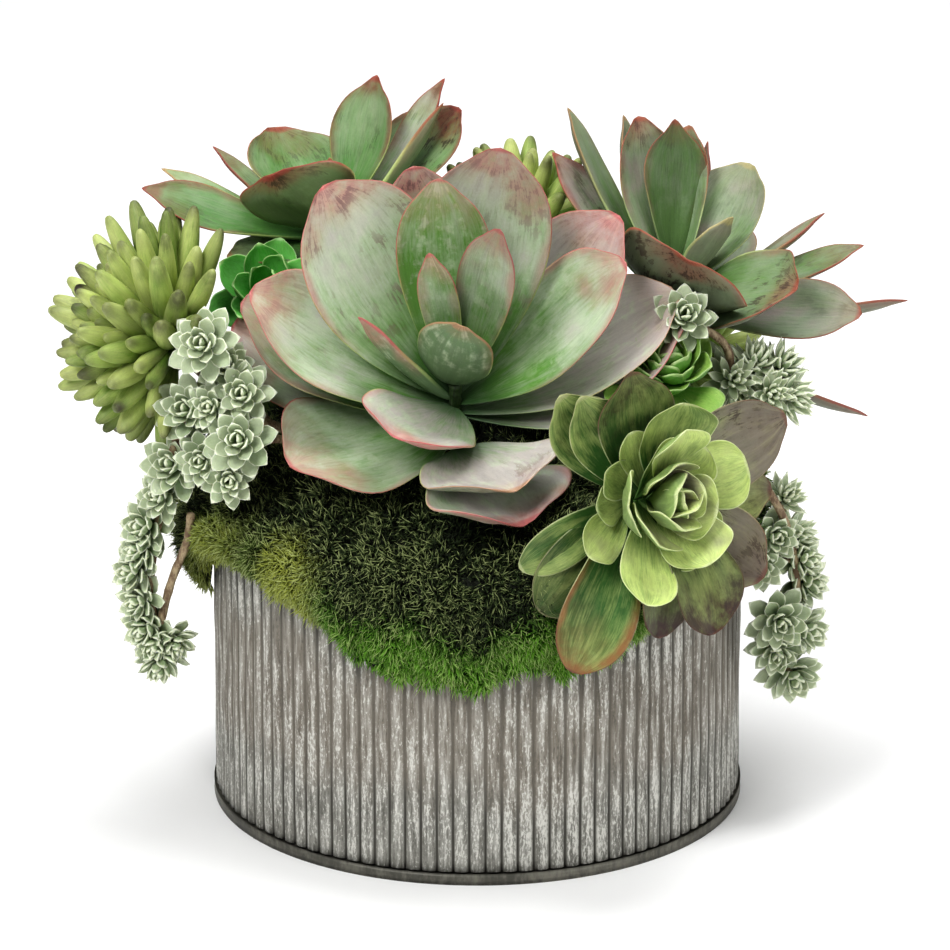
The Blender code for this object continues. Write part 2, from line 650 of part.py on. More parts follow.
class Planting:
    """Collects the plants' pieces and the holes that their stems stand in."""

    def __init__(self, group, scratch, holes):
        self.group = group
        self.scratch = scratch
        self.holes = holes

    def hole(self, name, foot, radius):
        """Plain upright hole for a stem, a little wider than it."""
        top = float(moss_height(*foot)) + 0.02
        bore = radius + HOLE_CLEARANCE
        guide = cylinder(name + "_hole", foot, bore, HOLE_FLOOR, top, self.holes, HOLE_SIDES)
        hide_cutter(guide)

    def stem(self, name, foot, growth, axis, column, radius=STEM_RADIUS):
        """Stem that rises upright out of its hole, bends to the axis and ends in the leaf column."""
        self.hole(name, foot, radius)
        leave = float(moss_height(*foot)) + 0.003
        growth = Vector(growth)
        up = Vector(axis).normalized()
        neck = growth - up * NECK_LENGTH
        points = [(foot[0], foot[1], HOLE_FLOOR + GAP), (foot[0], foot[1], leave)]
        if neck.z > leave + 0.006:
            points.append(neck)
        points.append(growth)
        points.append(growth + up * column)
        return tube(name + "_stem", points, radius, self.scratch)

    def rosette(self, name, foot, growth, axis, column, rows_and_styles, material, heart=0.006, crown=0.0):
        """Rosette of given leaves that sit along its column, on its stem, fused into one solid.

        A crown radius puts a closed bud of young leaves on the end of the column.
        """
        up = Vector(axis).normalized()
        growth = Vector(growth)
        pieces = [self.stem(name, foot, growth, axis, column)]
        pieces.append(ball(name + "_heart", growth + up * column * 0.4, heart, self.scratch))
        for rows, style in rows_and_styles:
            for number, row in enumerate(rows):
                root = growth + up * column * (1.0 - row[1] / 90.0)
                pieces.append(make_leaf(f"{name}_leaf_{number}", root, axis, row, style, self.scratch))
        if crown:
            top = growth + up * column
            pieces.append(small_rosette(f"{name}_crown", top, axis, crown, 5, self.scratch))
        return fuse(name, pieces, self.scratch, self.group, material)

    def finger_head(self, name, foot, head, axis, count, length, width, spread, material, seed, clear=None):
        """Head of plump fingers out of a heart all round an axis, with none near a clear direction."""
        head = Vector(head)
        pieces = [self.stem(name, foot, head, axis, FINGER_HEART * 0.5, 0.0042)]
        pieces.append(ball(name + "_heart", head, FINGER_HEART, self.scratch))
        inset = FINGER_HEART * 0.6
        for number, row in enumerate(spiral_rows(count, length, 4, spread, 1.0, seed, 0.80)):
            heading = leaf_frame(axis, row[0], row[1], 0.0)[0]
            if clear and heading.dot(Vector(clear)) > math.cos(math.radians(CLEAR_ANGLE)):
                continue
            plump = (row[0], row[1], row[2] - inset, width, 0)
            root = head + heading * inset
            style = finger_style(width)
            pieces.append(make_leaf(f"{name}_finger_{number}", root, axis, plump, style, self.scratch))
        return fuse(name, pieces, self.scratch, self.group, material)

    def trailing(self, name, stems, rosettes, material, seed):
        """Trailing plant: thin stems with a small rosette at each given place, one solid."""
        pieces = []
        spots = []
        for number, (foot, leave, route) in enumerate(stems):
            label = f"{name}_{number}"
            points = list(route)
            if foot is not None:
                self.hole(label, foot, THIN_STEM_RADIUS)
                points.insert(0, (foot[0], foot[1], leave))
            spots.extend(smooth_route(points, 6))
            points = smooth_route(points, 2)
            if foot is not None:
                points.insert(0, (foot[0], foot[1], HOLE_FLOOR + GAP))
            pieces.append(tube(label + "_stem", points, THIN_STEM_RADIUS, self.scratch, 1, 0))
        for number, (centre, axis, radius) in enumerate(rosettes):
            heart = Vector(centre)
            twist = seed + number
            pieces.append(small_rosette(f"{name}_{number}", heart, axis, radius, twist, self.scratch))
            near = min(spots, key=lambda spot: (spot - heart).length)
            if (near - heart).length > STALK_RADIUS:
                stalk = tube(f"{name}_{number}_stalk", [near, heart], STALK_RADIUS, self.scratch, 1, 0)
                pieces.append(stalk)
        return fuse(name, pieces, self.scratch, self.group, material)


def small_rosette(name, centre, axis, radius, seed, group):
    """Small rosette as one solid: a ring of leaf tips and notches, an inner ring half a leaf on."""
    up, right, back = (np.array(direction) for direction in rosette_frame(axis))
    turned = random.Random(seed).uniform(0.0, 2.0 * math.pi)
    step = math.pi / SMALL_LEAVES

    def place(points):
        spin = np.arctan2(points[:, 1], points[:, 0])
        tip = np.round(spin / step).astype(int) % 2 == 0
        level = np.round(np.arccos(np.clip(points[:, 2], -1.0, 1.0)) / (math.pi / 3.0)).astype(int)
        reach = np.choose(level, (0.0, np.where(tip, 0.36, 0.58), np.where(tip, 1.0, 0.58), 0.0))
        rise = np.choose(level, (0.30, np.where(tip, 0.24, 0.48), np.where(tip, 0.16, 0.02), -0.26))
        spread = np.outer(np.cos(spin + turned), right) + np.outer(np.sin(spin + turned), back)
        return np.array(centre) + radius * (reach[:, None] * spread + np.outer(rise, up))

    return shaped_sphere(name, 2 * SMALL_LEAVES, 3, place, group)


def spiral_rows(count, radius, inner, outer, slim, seed, start):
    """Rows of a small rosette by the golden angle: upright short leaves inside, flat long ones outside."""
    draw = random.Random(seed)
    rows = []
    for number in range(count):
        share = (number + 0.5) / count
        turn = number * GOLDEN_ANGLE + draw.uniform(-8, 8)
        lean = inner + (outer - inner) * share ** 0.8
        length = radius * (start + (1.0 - start) * share ** 0.6) * draw.uniform(0.94, 1.06)
        rows.append((turn, lean, length, length * slim, 0))
    return rows


def rear_rows(count, length, width):
    """Rows of a plain rosette: two rings of outer leaves and an upright heart."""
    rows = []
    for number in range(count):
        ring = number % 2
        shift = 2.3 * (number % 3)
        turn = 360 * number / count + 2 * shift
        rows.append((turn, 78 - 20 * ring + shift, length * (1.0 - 0.12 * ring), width, 4))
    for number in range(3):
        rows.append((22 + 117 * number, 28 + 3 * number, length * 0.55, width * 0.70, 0))
    return rows


def make_plants(planting, materials):
    """All the plants, from the centre outwards."""
    plant = planting
    plant.rosette("echeveria_centre", (-0.008, -0.030), CENTRE_GROWTH, CENTRE_AXIS, CENTRE_COLUMN,
                  [(CENTRE_LEAVES, WIDE_LEAF), (CENTRE_HANGING_LEAVES, HANGING_LEAF)],
                  materials["echeveria_pale"], 0.007)
    plant.rosette("echeveria_back_left", (-0.046, 0.030), BACK_LEFT_GROWTH, BACK_LEFT_AXIS,
                  BACK_LEFT_COLUMN,
                  [(BACK_LEFT_ROUND_LEAVES, BROAD_LEAF), (BACK_LEFT_POINTED_LEAVES, POINTED_LEAF)],
                  materials["echeveria_green"])
    plant.rosette("echeveria_back_right", (0.064, 0.024), BACK_RIGHT_GROWTH, BACK_RIGHT_AXIS,
                  BACK_RIGHT_COLUMN,
                  [(BACK_RIGHT_ROUND_LEAVES, BROAD_LEAF), (BACK_RIGHT_POINTED_LEAVES, POINTED_LEAF)],
                  materials["echeveria_grey"])
    plant.rosette("aeonium_front_right", (0.050, -0.060), AEONIUM_GROWTH, AEONIUM_AXIS, AEONIUM_COLUMN,
                  [(AEONIUM_OUTER, BROAD_LEAF), (AEONIUM_ARCHED, ARCHED_LEAF),
                   (AEONIUM_INNER, SPOON_PETAL)],
                  materials["aeonium"], 0.006, AEONIUM_CROWN_RADIUS)
    bud = spiral_rows(7, BUD_RADIUS, 8, 70, 0.95, 11, 0.7)
    plant.rosette("bud_rosette", (0.062, -0.018), BUD_GROWTH, BUD_AXIS, 0.004, [(bud, BUD_LEAF)],
                  materials["bud_green"], 0.005)
    bright = spiral_rows(6, BRIGHT_RADIUS, 10, 80, 0.75, 12, 0.6)
    plant.rosette("bright_rosette", (-0.062, 0.000), BRIGHT_GROWTH, BRIGHT_AXIS, 0.003,
                  [(bright, BUD_LEAF)], materials["bud_green"], 0.004)
    plant.finger_head("finger_sedum_left", (-0.080, -0.004), FINGER_LEFT_HEAD, FINGER_LEFT_AXIS, 34,
                      0.052, 0.0092, 100, materials["finger_green"], 21, FINGER_LEFT_CLEAR)
    plant.finger_head("finger_sedum_back", (0.016, 0.046), FINGER_BACK_HEAD, FINGER_BACK_AXIS, 12,
                      0.034, 0.0080, 80, materials["finger_green"], 22)
    plant.rosette("echeveria_rear", (0.006, 0.066), REAR_ECHEVERIA_GROWTH, REAR_ECHEVERIA_AXIS, 0.008,
                  [(rear_rows(7, 0.046, 0.034), SPOON_PETAL)], materials["echeveria_grey"])
    plant.rosette("aeonium_rear", (-0.052, 0.058), REAR_AEONIUM_GROWTH, REAR_AEONIUM_AXIS, 0.006,
                  [(rear_rows(6, 0.042, 0.030), SPOON_PETAL)], materials["aeonium"])
    plant.finger_head("finger_sedum_rear", (0.064, 0.056), REAR_FINGER_HEAD, REAR_FINGER_AXIS, 12,
                      0.040, 0.0085, 100, materials["finger_green"], 23)
    plant.trailing("trailing_sedum_left", LEFT_STEMS, LEFT_ROSETTES, materials["sage"], 31)
    plant.trailing("trailing_sedum_right", RIGHT_STEMS, RIGHT_ROSETTES, materials["sage"], 41)
    plant.trailing("trailing_sedum_back", BACK_STEMS, BACK_ROSETTES, materials["sage"], 51)


def make_materials():
    """The part's finishes."""
    return {
        "zinc": make_material("weathered_zinc", (0.42, 0.41, 0.38), 0.6, 0.5),
        "dark_zinc": make_material("dark_zinc", (0.10, 0.10, 0.09), 0.5, 0.7),
        "soil": make_material("potting_mix", (0.05, 0.035, 0.025), 0.95),
        "moss": make_material("moss", (0.04, 0.10, 0.02), 0.95),
        "echeveria_pale": make_material("echeveria_pale", (0.45, 0.52, 0.38), 0.5),
        "echeveria_green": make_material("echeveria_green", (0.14, 0.25, 0.11), 0.5),
        "echeveria_grey": make_material("echeveria_grey", (0.22, 0.28, 0.20), 0.5),
        "aeonium": make_material("aeonium", (0.30, 0.42, 0.13), 0.45),
        "bud_green": make_material("bud_green", (0.16, 0.42, 0.08), 0.45),
        "finger_green": make_material("finger_green", (0.27, 0.42, 0.11), 0.45),
        "sage": make_material("sage", (0.33, 0.43, 0.29), 0.6),
    }


def main():
    """Build the dish garden."""
    clear_scene()
    garden = new_collection("succulent_dish_garden")
    cutters = new_collection("cutters")
    holes = new_collection("stem_hole_cutters")
    scratch = new_collection("loose_pieces")
    materials = make_materials()
    make_base(garden, materials["dark_zinc"])
    make_wall(garden, cutters, materials["zinc"])
    make_rim(garden, materials["zinc"])
    make_plants(Planting(garden, scratch, holes), materials)
    make_mound(garden, holes, materials["soil"])
    make_moss(garden, holes, materials["moss"])
    bpy.data.collections.remove(scratch)


if __name__ == "__main__":
    main()
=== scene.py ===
"""Succulent dish garden: leaves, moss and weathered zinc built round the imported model.

Every shape is a function of two parameters, worked out on whole arrays. Lengths are metres,
angles in the tables are degrees, +Z is up and -Y is the front of the arrangement.
"""

import logging
import math
import random
from dataclasses import dataclass, replace
from enum import Enum

import bpy
import numpy as np
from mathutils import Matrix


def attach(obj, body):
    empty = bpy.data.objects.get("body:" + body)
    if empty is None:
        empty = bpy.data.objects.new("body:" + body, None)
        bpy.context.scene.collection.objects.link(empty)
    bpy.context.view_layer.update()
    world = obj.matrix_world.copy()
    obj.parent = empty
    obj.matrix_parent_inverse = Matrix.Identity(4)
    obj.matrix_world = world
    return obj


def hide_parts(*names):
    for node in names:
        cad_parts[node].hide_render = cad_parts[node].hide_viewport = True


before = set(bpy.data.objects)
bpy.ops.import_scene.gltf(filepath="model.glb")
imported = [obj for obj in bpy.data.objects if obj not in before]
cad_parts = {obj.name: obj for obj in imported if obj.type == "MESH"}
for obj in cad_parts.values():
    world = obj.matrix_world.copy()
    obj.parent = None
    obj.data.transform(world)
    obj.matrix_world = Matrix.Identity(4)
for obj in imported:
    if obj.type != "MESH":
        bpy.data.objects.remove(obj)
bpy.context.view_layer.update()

LOG = logging.getLogger("dish_garden")

GOLDEN_ANGLE = 137.508
CLEAR_ANGLE = 32.0                      # half the cone that a finger head keeps free, degrees
NO_SHIFT = (0.0, 0.0, 0.0)
DOWN = (0.0, 0.0, -1.0)
UP = (0.0, 0.0, 1.0)

Array = np.ndarray
Colour = tuple[float, float, float]
Point = tuple[float, float, float]
Paint = tuple[float, float, float, float]
Material = bpy.types.Material
Piece = bpy.types.Object
Socket = bpy.types.NodeSocket

NO_EDGE = 9.0                           # distance mark of skin that has no margin, millimetres
NEUTRAL = np.full((1, 4), 0.5)          # mark of a piece that makes no use of it
BARK_PAINT: Paint = (0.3, 0.2, 0.2, 0.5)
# Paint of a rosette's hidden heart and core: nearly black, painted shade where they show between
# the leaves.
SHADED_CORE: Paint = (0.0, 1.0, 0.0, -0.8)


class Slot(Enum):
    """Names of the finishes."""

    ZINC = "weathered_zinc"
    DARK_ZINC = "dark_zinc"
    SOIL = "potting_mix"
    MOSS = "moss"
    PALE = "echeveria_pale"
    GREEN = "echeveria_green"
    GREY = "echeveria_grey"
    AEONIUM = "aeonium"
    BUD = "bud_green"
    FINGER = "finger_green"
    SAGE = "sage"


# ---- Arrays and meshes ----


def unit(vectors: Array) -> Array:
    """Vectors scaled to length 1 along the last axis."""
    length = np.linalg.norm(vectors, axis=-1, keepdims=True)
    return vectors / np.maximum(length, 1e-12)


def smooth(value: Array, low: float, high: float) -> Array:
    """Smooth step 3t^2 - 2t^3, where t is the share of the way from low to high."""
    share = np.clip((value - low) / (high - low), 0.0, 1.0)
    return share * share * (3.0 - 2.0 * share)


def stacked(*parts: Array | float) -> Array:
    """Arrays and numbers brought to one shape and stacked along a new last axis."""
    return np.stack(np.broadcast_arrays(*parts), axis=-1)


def full_turn(count: int) -> Array:
    """Azimuths of that many points, spaced evenly round a circle, in radians."""
    return 2.0 * np.pi * np.arange(count) / count


def round_axis(reach: Array, angle: Array, level: Array) -> Array:
    """Points (r cos a, r sin a, z) of a radius, an azimuth and a height."""
    return stacked(reach * np.cos(angle), reach * np.sin(angle), level)


def split_squares(a: Array, b: Array, c: Array, d: Array) -> Array:
    """Triangles a b d and a d c of the squares whose corners have these indices."""
    return np.stack([a, b, d, a, d, c], axis=-1).reshape(-1, 3)


@dataclass(frozen=True)
class TubeGrid:
    """Grid of a closed tube: a pole, full rings, and a pole.

    Attributes:
        rings: number of full rings.
        around: points in a ring.
    """

    rings: int
    around: int

    def ringwise(self, values: Array, base: float, tip: float) -> Array:
        """A value for each ring, given to all its points, between the values of the two poles."""
        return np.concatenate([[base], np.repeat(values, self.around), [tip]])

    def parameters(self) -> tuple[Array, Array, Array]:
        """Share along from 0 to 1, and the cosine and sine around, which are 0 at the poles.

        The share of ring i is (1 - cos(pi i / (rings + 1))) / 2, so rings crowd at both ends.

        Returns:
            Three arrays with a number for each point.
        """
        step = np.pi * np.arange(1, self.rings + 1) / (self.rings + 1)
        angle = np.tile(full_turn(self.around), self.rings)
        along = self.ringwise((1.0 - np.cos(step)) / 2.0, 0.0, 1.0)
        return along, np.pad(np.cos(angle), 1), np.pad(np.sin(angle), 1)

    def faces(self) -> Array:
        """Triangles of the tube and of its two end fans.

        Returns:
            Triangles x 3, facing outwards.
        """
        last = 1 + self.rings * self.around
        here = np.arange(self.around)
        after = (here + 1) % self.around
        first = 1 + self.around * np.arange(self.rings - 1)[:, None]
        a, b = first + here, first + after
        body = split_squares(a, b, a + self.around, b + self.around)
        top = last - self.around
        return np.concatenate([stacked(0, 1 + after, 1 + here), body,
                               stacked(last, top + here, top + after)])


def loop_faces(rows: int, around: int) -> Array:
    """Triangles of a grid that closes on itself both ways, such as a ring with a loop for profile.

    Args:
        rows: points in the profile loop.
        around: points round the axis.

    Returns:
        Triangles that face outwards where the profile rises on its outer side.
    """
    i, j = np.arange(rows)[:, None] * around, np.arange(around)
    up, on = (i + around) % (rows * around), (j + 1) % around
    return split_squares(i + j, i + on, up + j, up + on)


class Surface:
    """Points, triangles and marks of many forms, gathered into one mesh.

    A mark is four numbers a point. "shape" says where on its leaf or sheet a point lies, and
    "paint" how that leaf is coloured.
    """

    def __init__(self) -> None:
        """Start with no points."""
        self.points: list[Array] = []
        self.triangles: list[Array] = []
        self.marks: dict[str, list[Array]] = {"shape": [], "paint": []}
        self.count = 0

    def add(self, points: Array, faces: Array, shape: Array, paint: Array = NEUTRAL) -> "Surface":
        """Add a batch of forms that share one grid.

        Args:
            points: forms x grid points x 3, or grid points x 3 of a single form.
            faces: triangles of one form.
            shape: four numbers for all, or a set for each point.
            paint: four numbers a form, or a set for each point.

        Returns:
            This surface.
        """
        points = points if points.ndim == 3 else points[None]
        forms, size = points.shape[:2]
        if len(paint.shape) == 2 and len(paint) == forms:
            paint = paint[:, None, :]
        starts = self.count + size * np.arange(forms)[:, None, None]
        self.points.append(points.reshape(-1, 3))
        self.triangles.append((faces[None] + starts).reshape(-1, 3))
        for label, mark in (("shape", shape), ("paint", paint)):
            self.marks[label].append(np.broadcast_to(mark, (forms, size, 4)).reshape(-1, 4))
        self.count += forms * size
        return self

    def build(self, name: str, material: Material, slot: Slot, *nodes: str) -> Piece:
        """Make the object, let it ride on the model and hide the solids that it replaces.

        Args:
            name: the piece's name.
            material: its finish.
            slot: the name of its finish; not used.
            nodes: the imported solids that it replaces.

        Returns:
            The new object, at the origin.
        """
        points, triangles = np.concatenate(self.points), np.concatenate(self.triangles)
        mesh = bpy.data.meshes.new(name)
        mesh.vertices.add(len(points))
        mesh.vertices.foreach_set("co", points.ravel().astype(np.float32))
        mesh.loops.add(triangles.size)
        mesh.loops.foreach_set("vertex_index", triangles.ravel().astype(np.int32))
        mesh.polygons.add(len(triangles))
        mesh.polygons.foreach_set("loop_start", np.arange(0, triangles.size, 3, dtype=np.int32))
        mesh.polygons.foreach_set("use_smooth", np.ones(len(triangles), dtype=bool))
        for label, marks in self.marks.items():
            layer = mesh.attributes.new(label, "FLOAT_COLOR", "POINT")
            layer.data.foreach_set("color", np.concatenate(marks).ravel().astype(np.float32))
        mesh.update(calc_edges=True)
        mesh.validate()
        mesh.materials.append(material)
        piece = bpy.data.objects.new(name, mesh)
        bpy.context.scene.collection.objects.link(piece)
        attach(piece, "root")
        if nodes:
            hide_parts(*nodes)
        return piece


# ---- Leaves ----


@dataclass(frozen=True)
class LeafForm:
    """How a leaf's outline and body run from base to tip.

    Attributes:
        base_taper: power of the rise of the width from the base.
        tip_taper: power of its fall to the tip.
        cup: lift of the margins, as a share of the half-width.
        sag: how far the middle of the blade hangs below base and tip, as a share of the length.
        thickness: of the body, metres.
        curl: lift of the tip, as a share of the length.
        point: length of the small point on the tip, metres.
        wave: ripple of the margins, as a share of the half-width.
        dent: soft folds of the blade, as a share of the half-width.
        keel: share of the thickness that lies below the middle surface.
    """

    base_taper: float
    tip_taper: float
    cup: float = 0.0
    sag: float = 0.0
    thickness: float = 0.0
    curl: float = 0.0
    point: float = 0.0030
    wave: float = 0.05
    dent: float = 0.05
    keel: float = 0.64

    def width_share(self, along: Array) -> Array:
        """Half-width along the leaf, as a share of the widest.

        (s / p)^a ((1 - s) / (1 - p))^b, with a the base taper, b the tip taper and p = a / (a + b).

        Args:
            along: share along the leaf.

        Returns:
            Numbers from 0 to 1.
        """
        peak = self.base_taper / (self.base_taper + self.tip_taper)
        rise = (along / peak) ** self.base_taper
        return rise * ((1.0 - along) / (1.0 - peak)) ** self.tip_taper


WIDE = LeafForm(0.88, 0.45, 0.24, 0.06, 0.0034, dent=0.035)
HANGING = LeafForm(0.95, 0.46, 0.24, 0.16, 0.0034, dent=0.035)
BROAD = LeafForm(0.95, 0.45, 0.24, 0.05, 0.0032)
POINTED = LeafForm(1.50, 0.62, 0.24, 0.06, 0.0030)
STUB = LeafForm(0.50, 0.42, 0.24, 0.06, 0.0034, dent=0.02)
SPOON = LeafForm(1.20, 0.36, 0.30, 0.06, 0.0022, point=0.0008, wave=0.07)
ARCHED = LeafForm(1.05, 0.42, 0.24, -0.10, 0.0032, point=0.0012)
CUPPED = LeafForm(0.60, 0.50, 0.50, 0.20, 0.0022, point=0.0010, wave=0.09)
SMALL = LeafForm(0.95, 0.52, 0.36, 0.10, 0.0014, curl=0.08, point=0.0008, wave=0.0, dent=0.0)
SPIKY = LeafForm(0.80, 0.72, 0.30, 0.10, 0.0015, curl=0.12, point=0.0008, wave=0.0, dent=0.0)
FINGER = LeafForm(0.26, 0.38)

BIG_GRID = TubeGrid(26, 22)
MID_GRID = TubeGrid(16, 14)
SMALL_GRID = TubeGrid(6, 8)
FINGER_GRID = TubeGrid(16, 12)
BALL_GRID = TubeGrid(10, 16)

# Columns of a leaf table: turn about the axis, lean from it and roll about the leaf, in degrees,
# length and width in metres, then blush, greenness, specks and brightness, each from 0 to 1.
TURN, LEAN, LENGTH, WIDTH, ROLL = range(5)
PAINT = slice(5, 9)
BareRows = list[tuple[float, float, float, float, float]]
Frames = tuple[Array, Array, Array]


def axis_frame(axis: Point) -> Frames:
    """Unit axis, the direction of turn 0 and the direction of turn 90.

    Args:
        axis: the way a rosette faces.

    Returns:
        Three unit vectors at right angles.
    """
    up = unit(np.array(axis, dtype=float))
    right = unit(np.array([1.0, 0.0, 0.0]) - up * up[0])
    return up, right, np.cross(up, right)


def leaf_frames(axis: Point, rows: Array) -> Frames:
    """Heading, side and face of leaves whose upper faces look to the rosette's axis.

    Heading = up cos(lean) + outward sin(lean), face = up sin(lean) - outward cos(lean), and the
    roll turns the face about the heading.

    Args:
        axis: the way the rosette faces.
        rows: leaf table.

    Returns:
        Three arrays, leaves x 3.
    """
    up, right, back = axis_frame(axis)
    turn, lean, roll = (np.radians(rows[:, column, None]) for column in (TURN, LEAN, ROLL))
    outward = np.cos(turn) * right + np.sin(turn) * back
    heading = np.cos(lean) * up + np.sin(lean) * outward
    face = np.sin(lean) * up - np.cos(lean) * outward
    face = np.cos(roll) * face + np.sin(roll) * np.cross(face, heading)
    return heading, np.cross(face, heading), face


def placed(roots: Array, frames: Frames, *sizes: Array) -> Array:
    """Points root + heading x + side y + face z of each leaf.

    Args:
        roots: where the leaves start, leaves x 3.
        frames: heading, side and face.
        sizes: x, y and z, each leaves x grid points.

    Returns:
        Leaves x grid points x 3.
    """
    points = roots[:, None]
    for size, way in zip(sizes, frames):
        points = points + size[..., None] * way[:, None]
    return points


def add_leaves(surface: Surface, grid: TubeGrid, roots: Array, axis: Point, rows: Array,
               form: LeafForm) -> None:
    """Add leaves: lens-shaped bodies, cupped across and sagging along.

    With s along and q across from -1 to 1: half = width / 2 x share(s), height = cup half q^2
    - sag L 4 s (1 - s) + curl L s^3 + wave + dents + body(s) sin, and the point is
    root + heading L s + side half q + face height. The wave is 1.6 ripples of the margin, the
    dents are products of sines along and across, and a spike over the last 5 % ends the tip.

    Args:
        surface: where the leaves go.
        grid: the grid of one leaf.
        roots: where each leaf starts, leaves x 3.
        axis: the way the rosette faces.
        rows: leaf table.
        form: outline and body.
    """
    along, cosine, sine = grid.parameters()
    length = rows[:, LENGTH, None]
    half = 0.5 * rows[:, WIDTH, None] * form.width_share(along)
    body = 0.5 * form.thickness * np.sqrt(1.0 - (2.0 * along - 1.0) ** 6)
    side_share = np.where(sine > 0.0, 2.0 * (1.0 - form.keel), 2.0 * form.keel)
    phase = np.radians(rows[:, TURN, None] * 7.0)
    ripple = np.sin(2.0 * np.pi * 1.6 * along + phase + 1.7 * np.sign(cosine))
    wave = form.wave * half * np.abs(cosine) ** 3 * ripple
    folds = np.sin(5.2 * along + phase) * np.cos(4.2 * cosine + 2.0 * phase)
    creases = 0.5 * np.sin(9.0 * along + 3.0 * phase) * np.cos(7.5 * cosine - phase)
    height = (form.cup * half * cosine ** 2 - form.sag * length * 4.0 * along * (1.0 - along)
              + form.curl * length * along ** 3 + wave + form.dent * half * (folds + creases)
              + body * sine * side_share)
    spike = 1.3 * form.point * np.clip((along - 0.95) / 0.05, 0.0, 1.0) ** 3
    points = placed(roots, leaf_frames(axis, rows), length * along + spike, half * cosine, height)
    edge = 1000.0 * np.minimum(half * (1.0 - np.abs(cosine)), 0.9 * length * (1.0 - along))
    upper = 0.5 + 0.5 * np.clip(sine * 3.0, -1.0, 1.0)
    shape = stacked(edge, along, upper, 0.5 + 0.5 * cosine)
    surface.add(points, grid.faces(), shape, rows[:, PAINT])


def add_ball(surface: Surface, centre: Array, radius: float, paint: Paint) -> None:
    """Add a round heart: centre + radius (sin a cos b, sin a sin b, cos a).

    Args:
        surface: where it goes.
        centre: its middle.
        radius: its radius.
        paint: blush, greenness, specks and brightness.
    """
    along, cosine, sine = BALL_GRID.parameters()
    level = 2.0 * along - 1.0
    ring = np.sqrt(np.maximum(1.0 - level ** 2, 0.0))
    ball = stacked(ring * cosine, ring * sine, level) * radius + centre
    # Along 0.1 puts the whole heart in the painted shade of a leaf's base.
    surface.add(ball, BALL_GRID.faces(), np.array([NO_EDGE, 0.1, 1.0, 0.5]), np.array([paint]))


def smooth_route(route: Array, steps: int) -> Array:
    """Points on a Catmull-Rom curve through the given ones.

    0.5 (2 b + (c - a) t + (2 a - 5 b + 4 c - d) t^2 + (3 b - a - 3 c + d) t^3) between b and c.

    Args:
        route: points to pass, n x 3.
        steps: points in each stretch.

    Returns:
        (n - 1) steps + 1 points.
    """
    padded = np.concatenate([[2.0 * route[0] - route[1]], route, [2.0 * route[-1] - route[-2]]])
    a, b, c, d = (padded[k:len(padded) - 3 + k, None, :] for k in range(4))
    t = (np.arange(steps) / steps)[None, :, None]
    curve = 0.5 * (2.0 * b + (c - a) * t + (2.0 * a - 5.0 * b + 4.0 * c - d) * t ** 2
                   + (3.0 * b - a - 3.0 * c + d) * t ** 3)
    return np.concatenate([curve.reshape(-1, 3), route[-1:]])


def add_stem(surface: Surface, route: tuple[Point, ...] | list[Array], radius: float,
             steps: int = 8, paint: Paint = BARK_PAINT) -> None:
    """Add a stem: a circle carried along a smooth route, with slight knuckles.

    The ring at each route point is point + r (n cos + m sin), with n and m at right angles to it.

    Args:
        surface: where it goes.
        route: points that it passes.
        radius: its radius.
        steps: rings in each stretch.
        paint: blush, greenness, specks and brightness.
    """
    path = smooth_route(np.array(route, dtype=float), steps)
    tangent = unit(np.gradient(path, axis=0))
    runs_along_y = np.abs(tangent[:, 1]).max() > 0.98
    normal = unit(np.cross(np.eye(3)[0 if runs_along_y else 1], tangent))
    other = np.cross(tangent, normal)
    share = np.linspace(0.0, 1.0, len(path))
    knuckles = 1.0 + 0.07 * np.sin(share * len(route) * 9.0) + 0.03 * np.sin(share * 61.0)
    grid = TubeGrid(len(path), 10)
    _, cosine, sine = grid.parameters()
    index = grid.ringwise(np.arange(len(path)), 0, len(path) - 1)
    ring = cosine[:, None] * normal[index] + sine[:, None] * other[index]
    points = path[index] + (radius * knuckles)[index, None] * ring
    shape = stacked(NO_EDGE, share[index], 1.0, 0.5 + 0.5 * cosine)
    surface.add(points, grid.faces(), shape, np.array([paint]))


def spiral_rows(count: int, radius: float, inner: float, outer: float, slim: float, seed: int,
                start: float) -> BareRows:
    """Rows by the golden angle: upright short leaves inside, flat long ones outside.

    Args:
        count: number of leaves.
        radius: length of the outermost leaf.
        inner: lean of the innermost leaf, degrees.
        outer: lean of the outermost leaf, degrees.
        slim: width as a share of the length.
        seed: seed of the small differences between leaves.
        start: length of the innermost leaf, as a share of the radius.

    Returns:
        Rows of turn, lean, length, width and roll.
    """
    draw = random.Random(seed)
    rows = []
    for number in range(count):
        share = (number + 0.5) / count
        turn = number * GOLDEN_ANGLE + draw.uniform(-8, 8)
        lean = inner + (outer - inner) * share ** 0.8
        length = radius * (start + (1.0 - start) * share ** 0.6) * draw.uniform(0.94, 1.06)
        rows.append((turn, lean, length, length * slim, 0.0))
    return rows


def painted(rows: BareRows, paint: Paint, seed: int, spread: float = 0.12) -> Array:
    """Leaf table from bare rows, with paint that varies a little from leaf to leaf.

    Args:
        rows: rows of turn, lean, length, width and roll.
        paint: blush, greenness, specks and brightness.
        seed: seed of the differences.
        spread: their size.

    Returns:
        Leaf table.
    """
    draw = np.random.default_rng(seed)
    varied = np.array(paint) + draw.uniform(-spread, spread, (len(rows), 4))
    return np.concatenate([np.array(rows, dtype=float), np.clip(varied, 0.0, 1.0)], axis=1)


# ---- Shader nodes ----


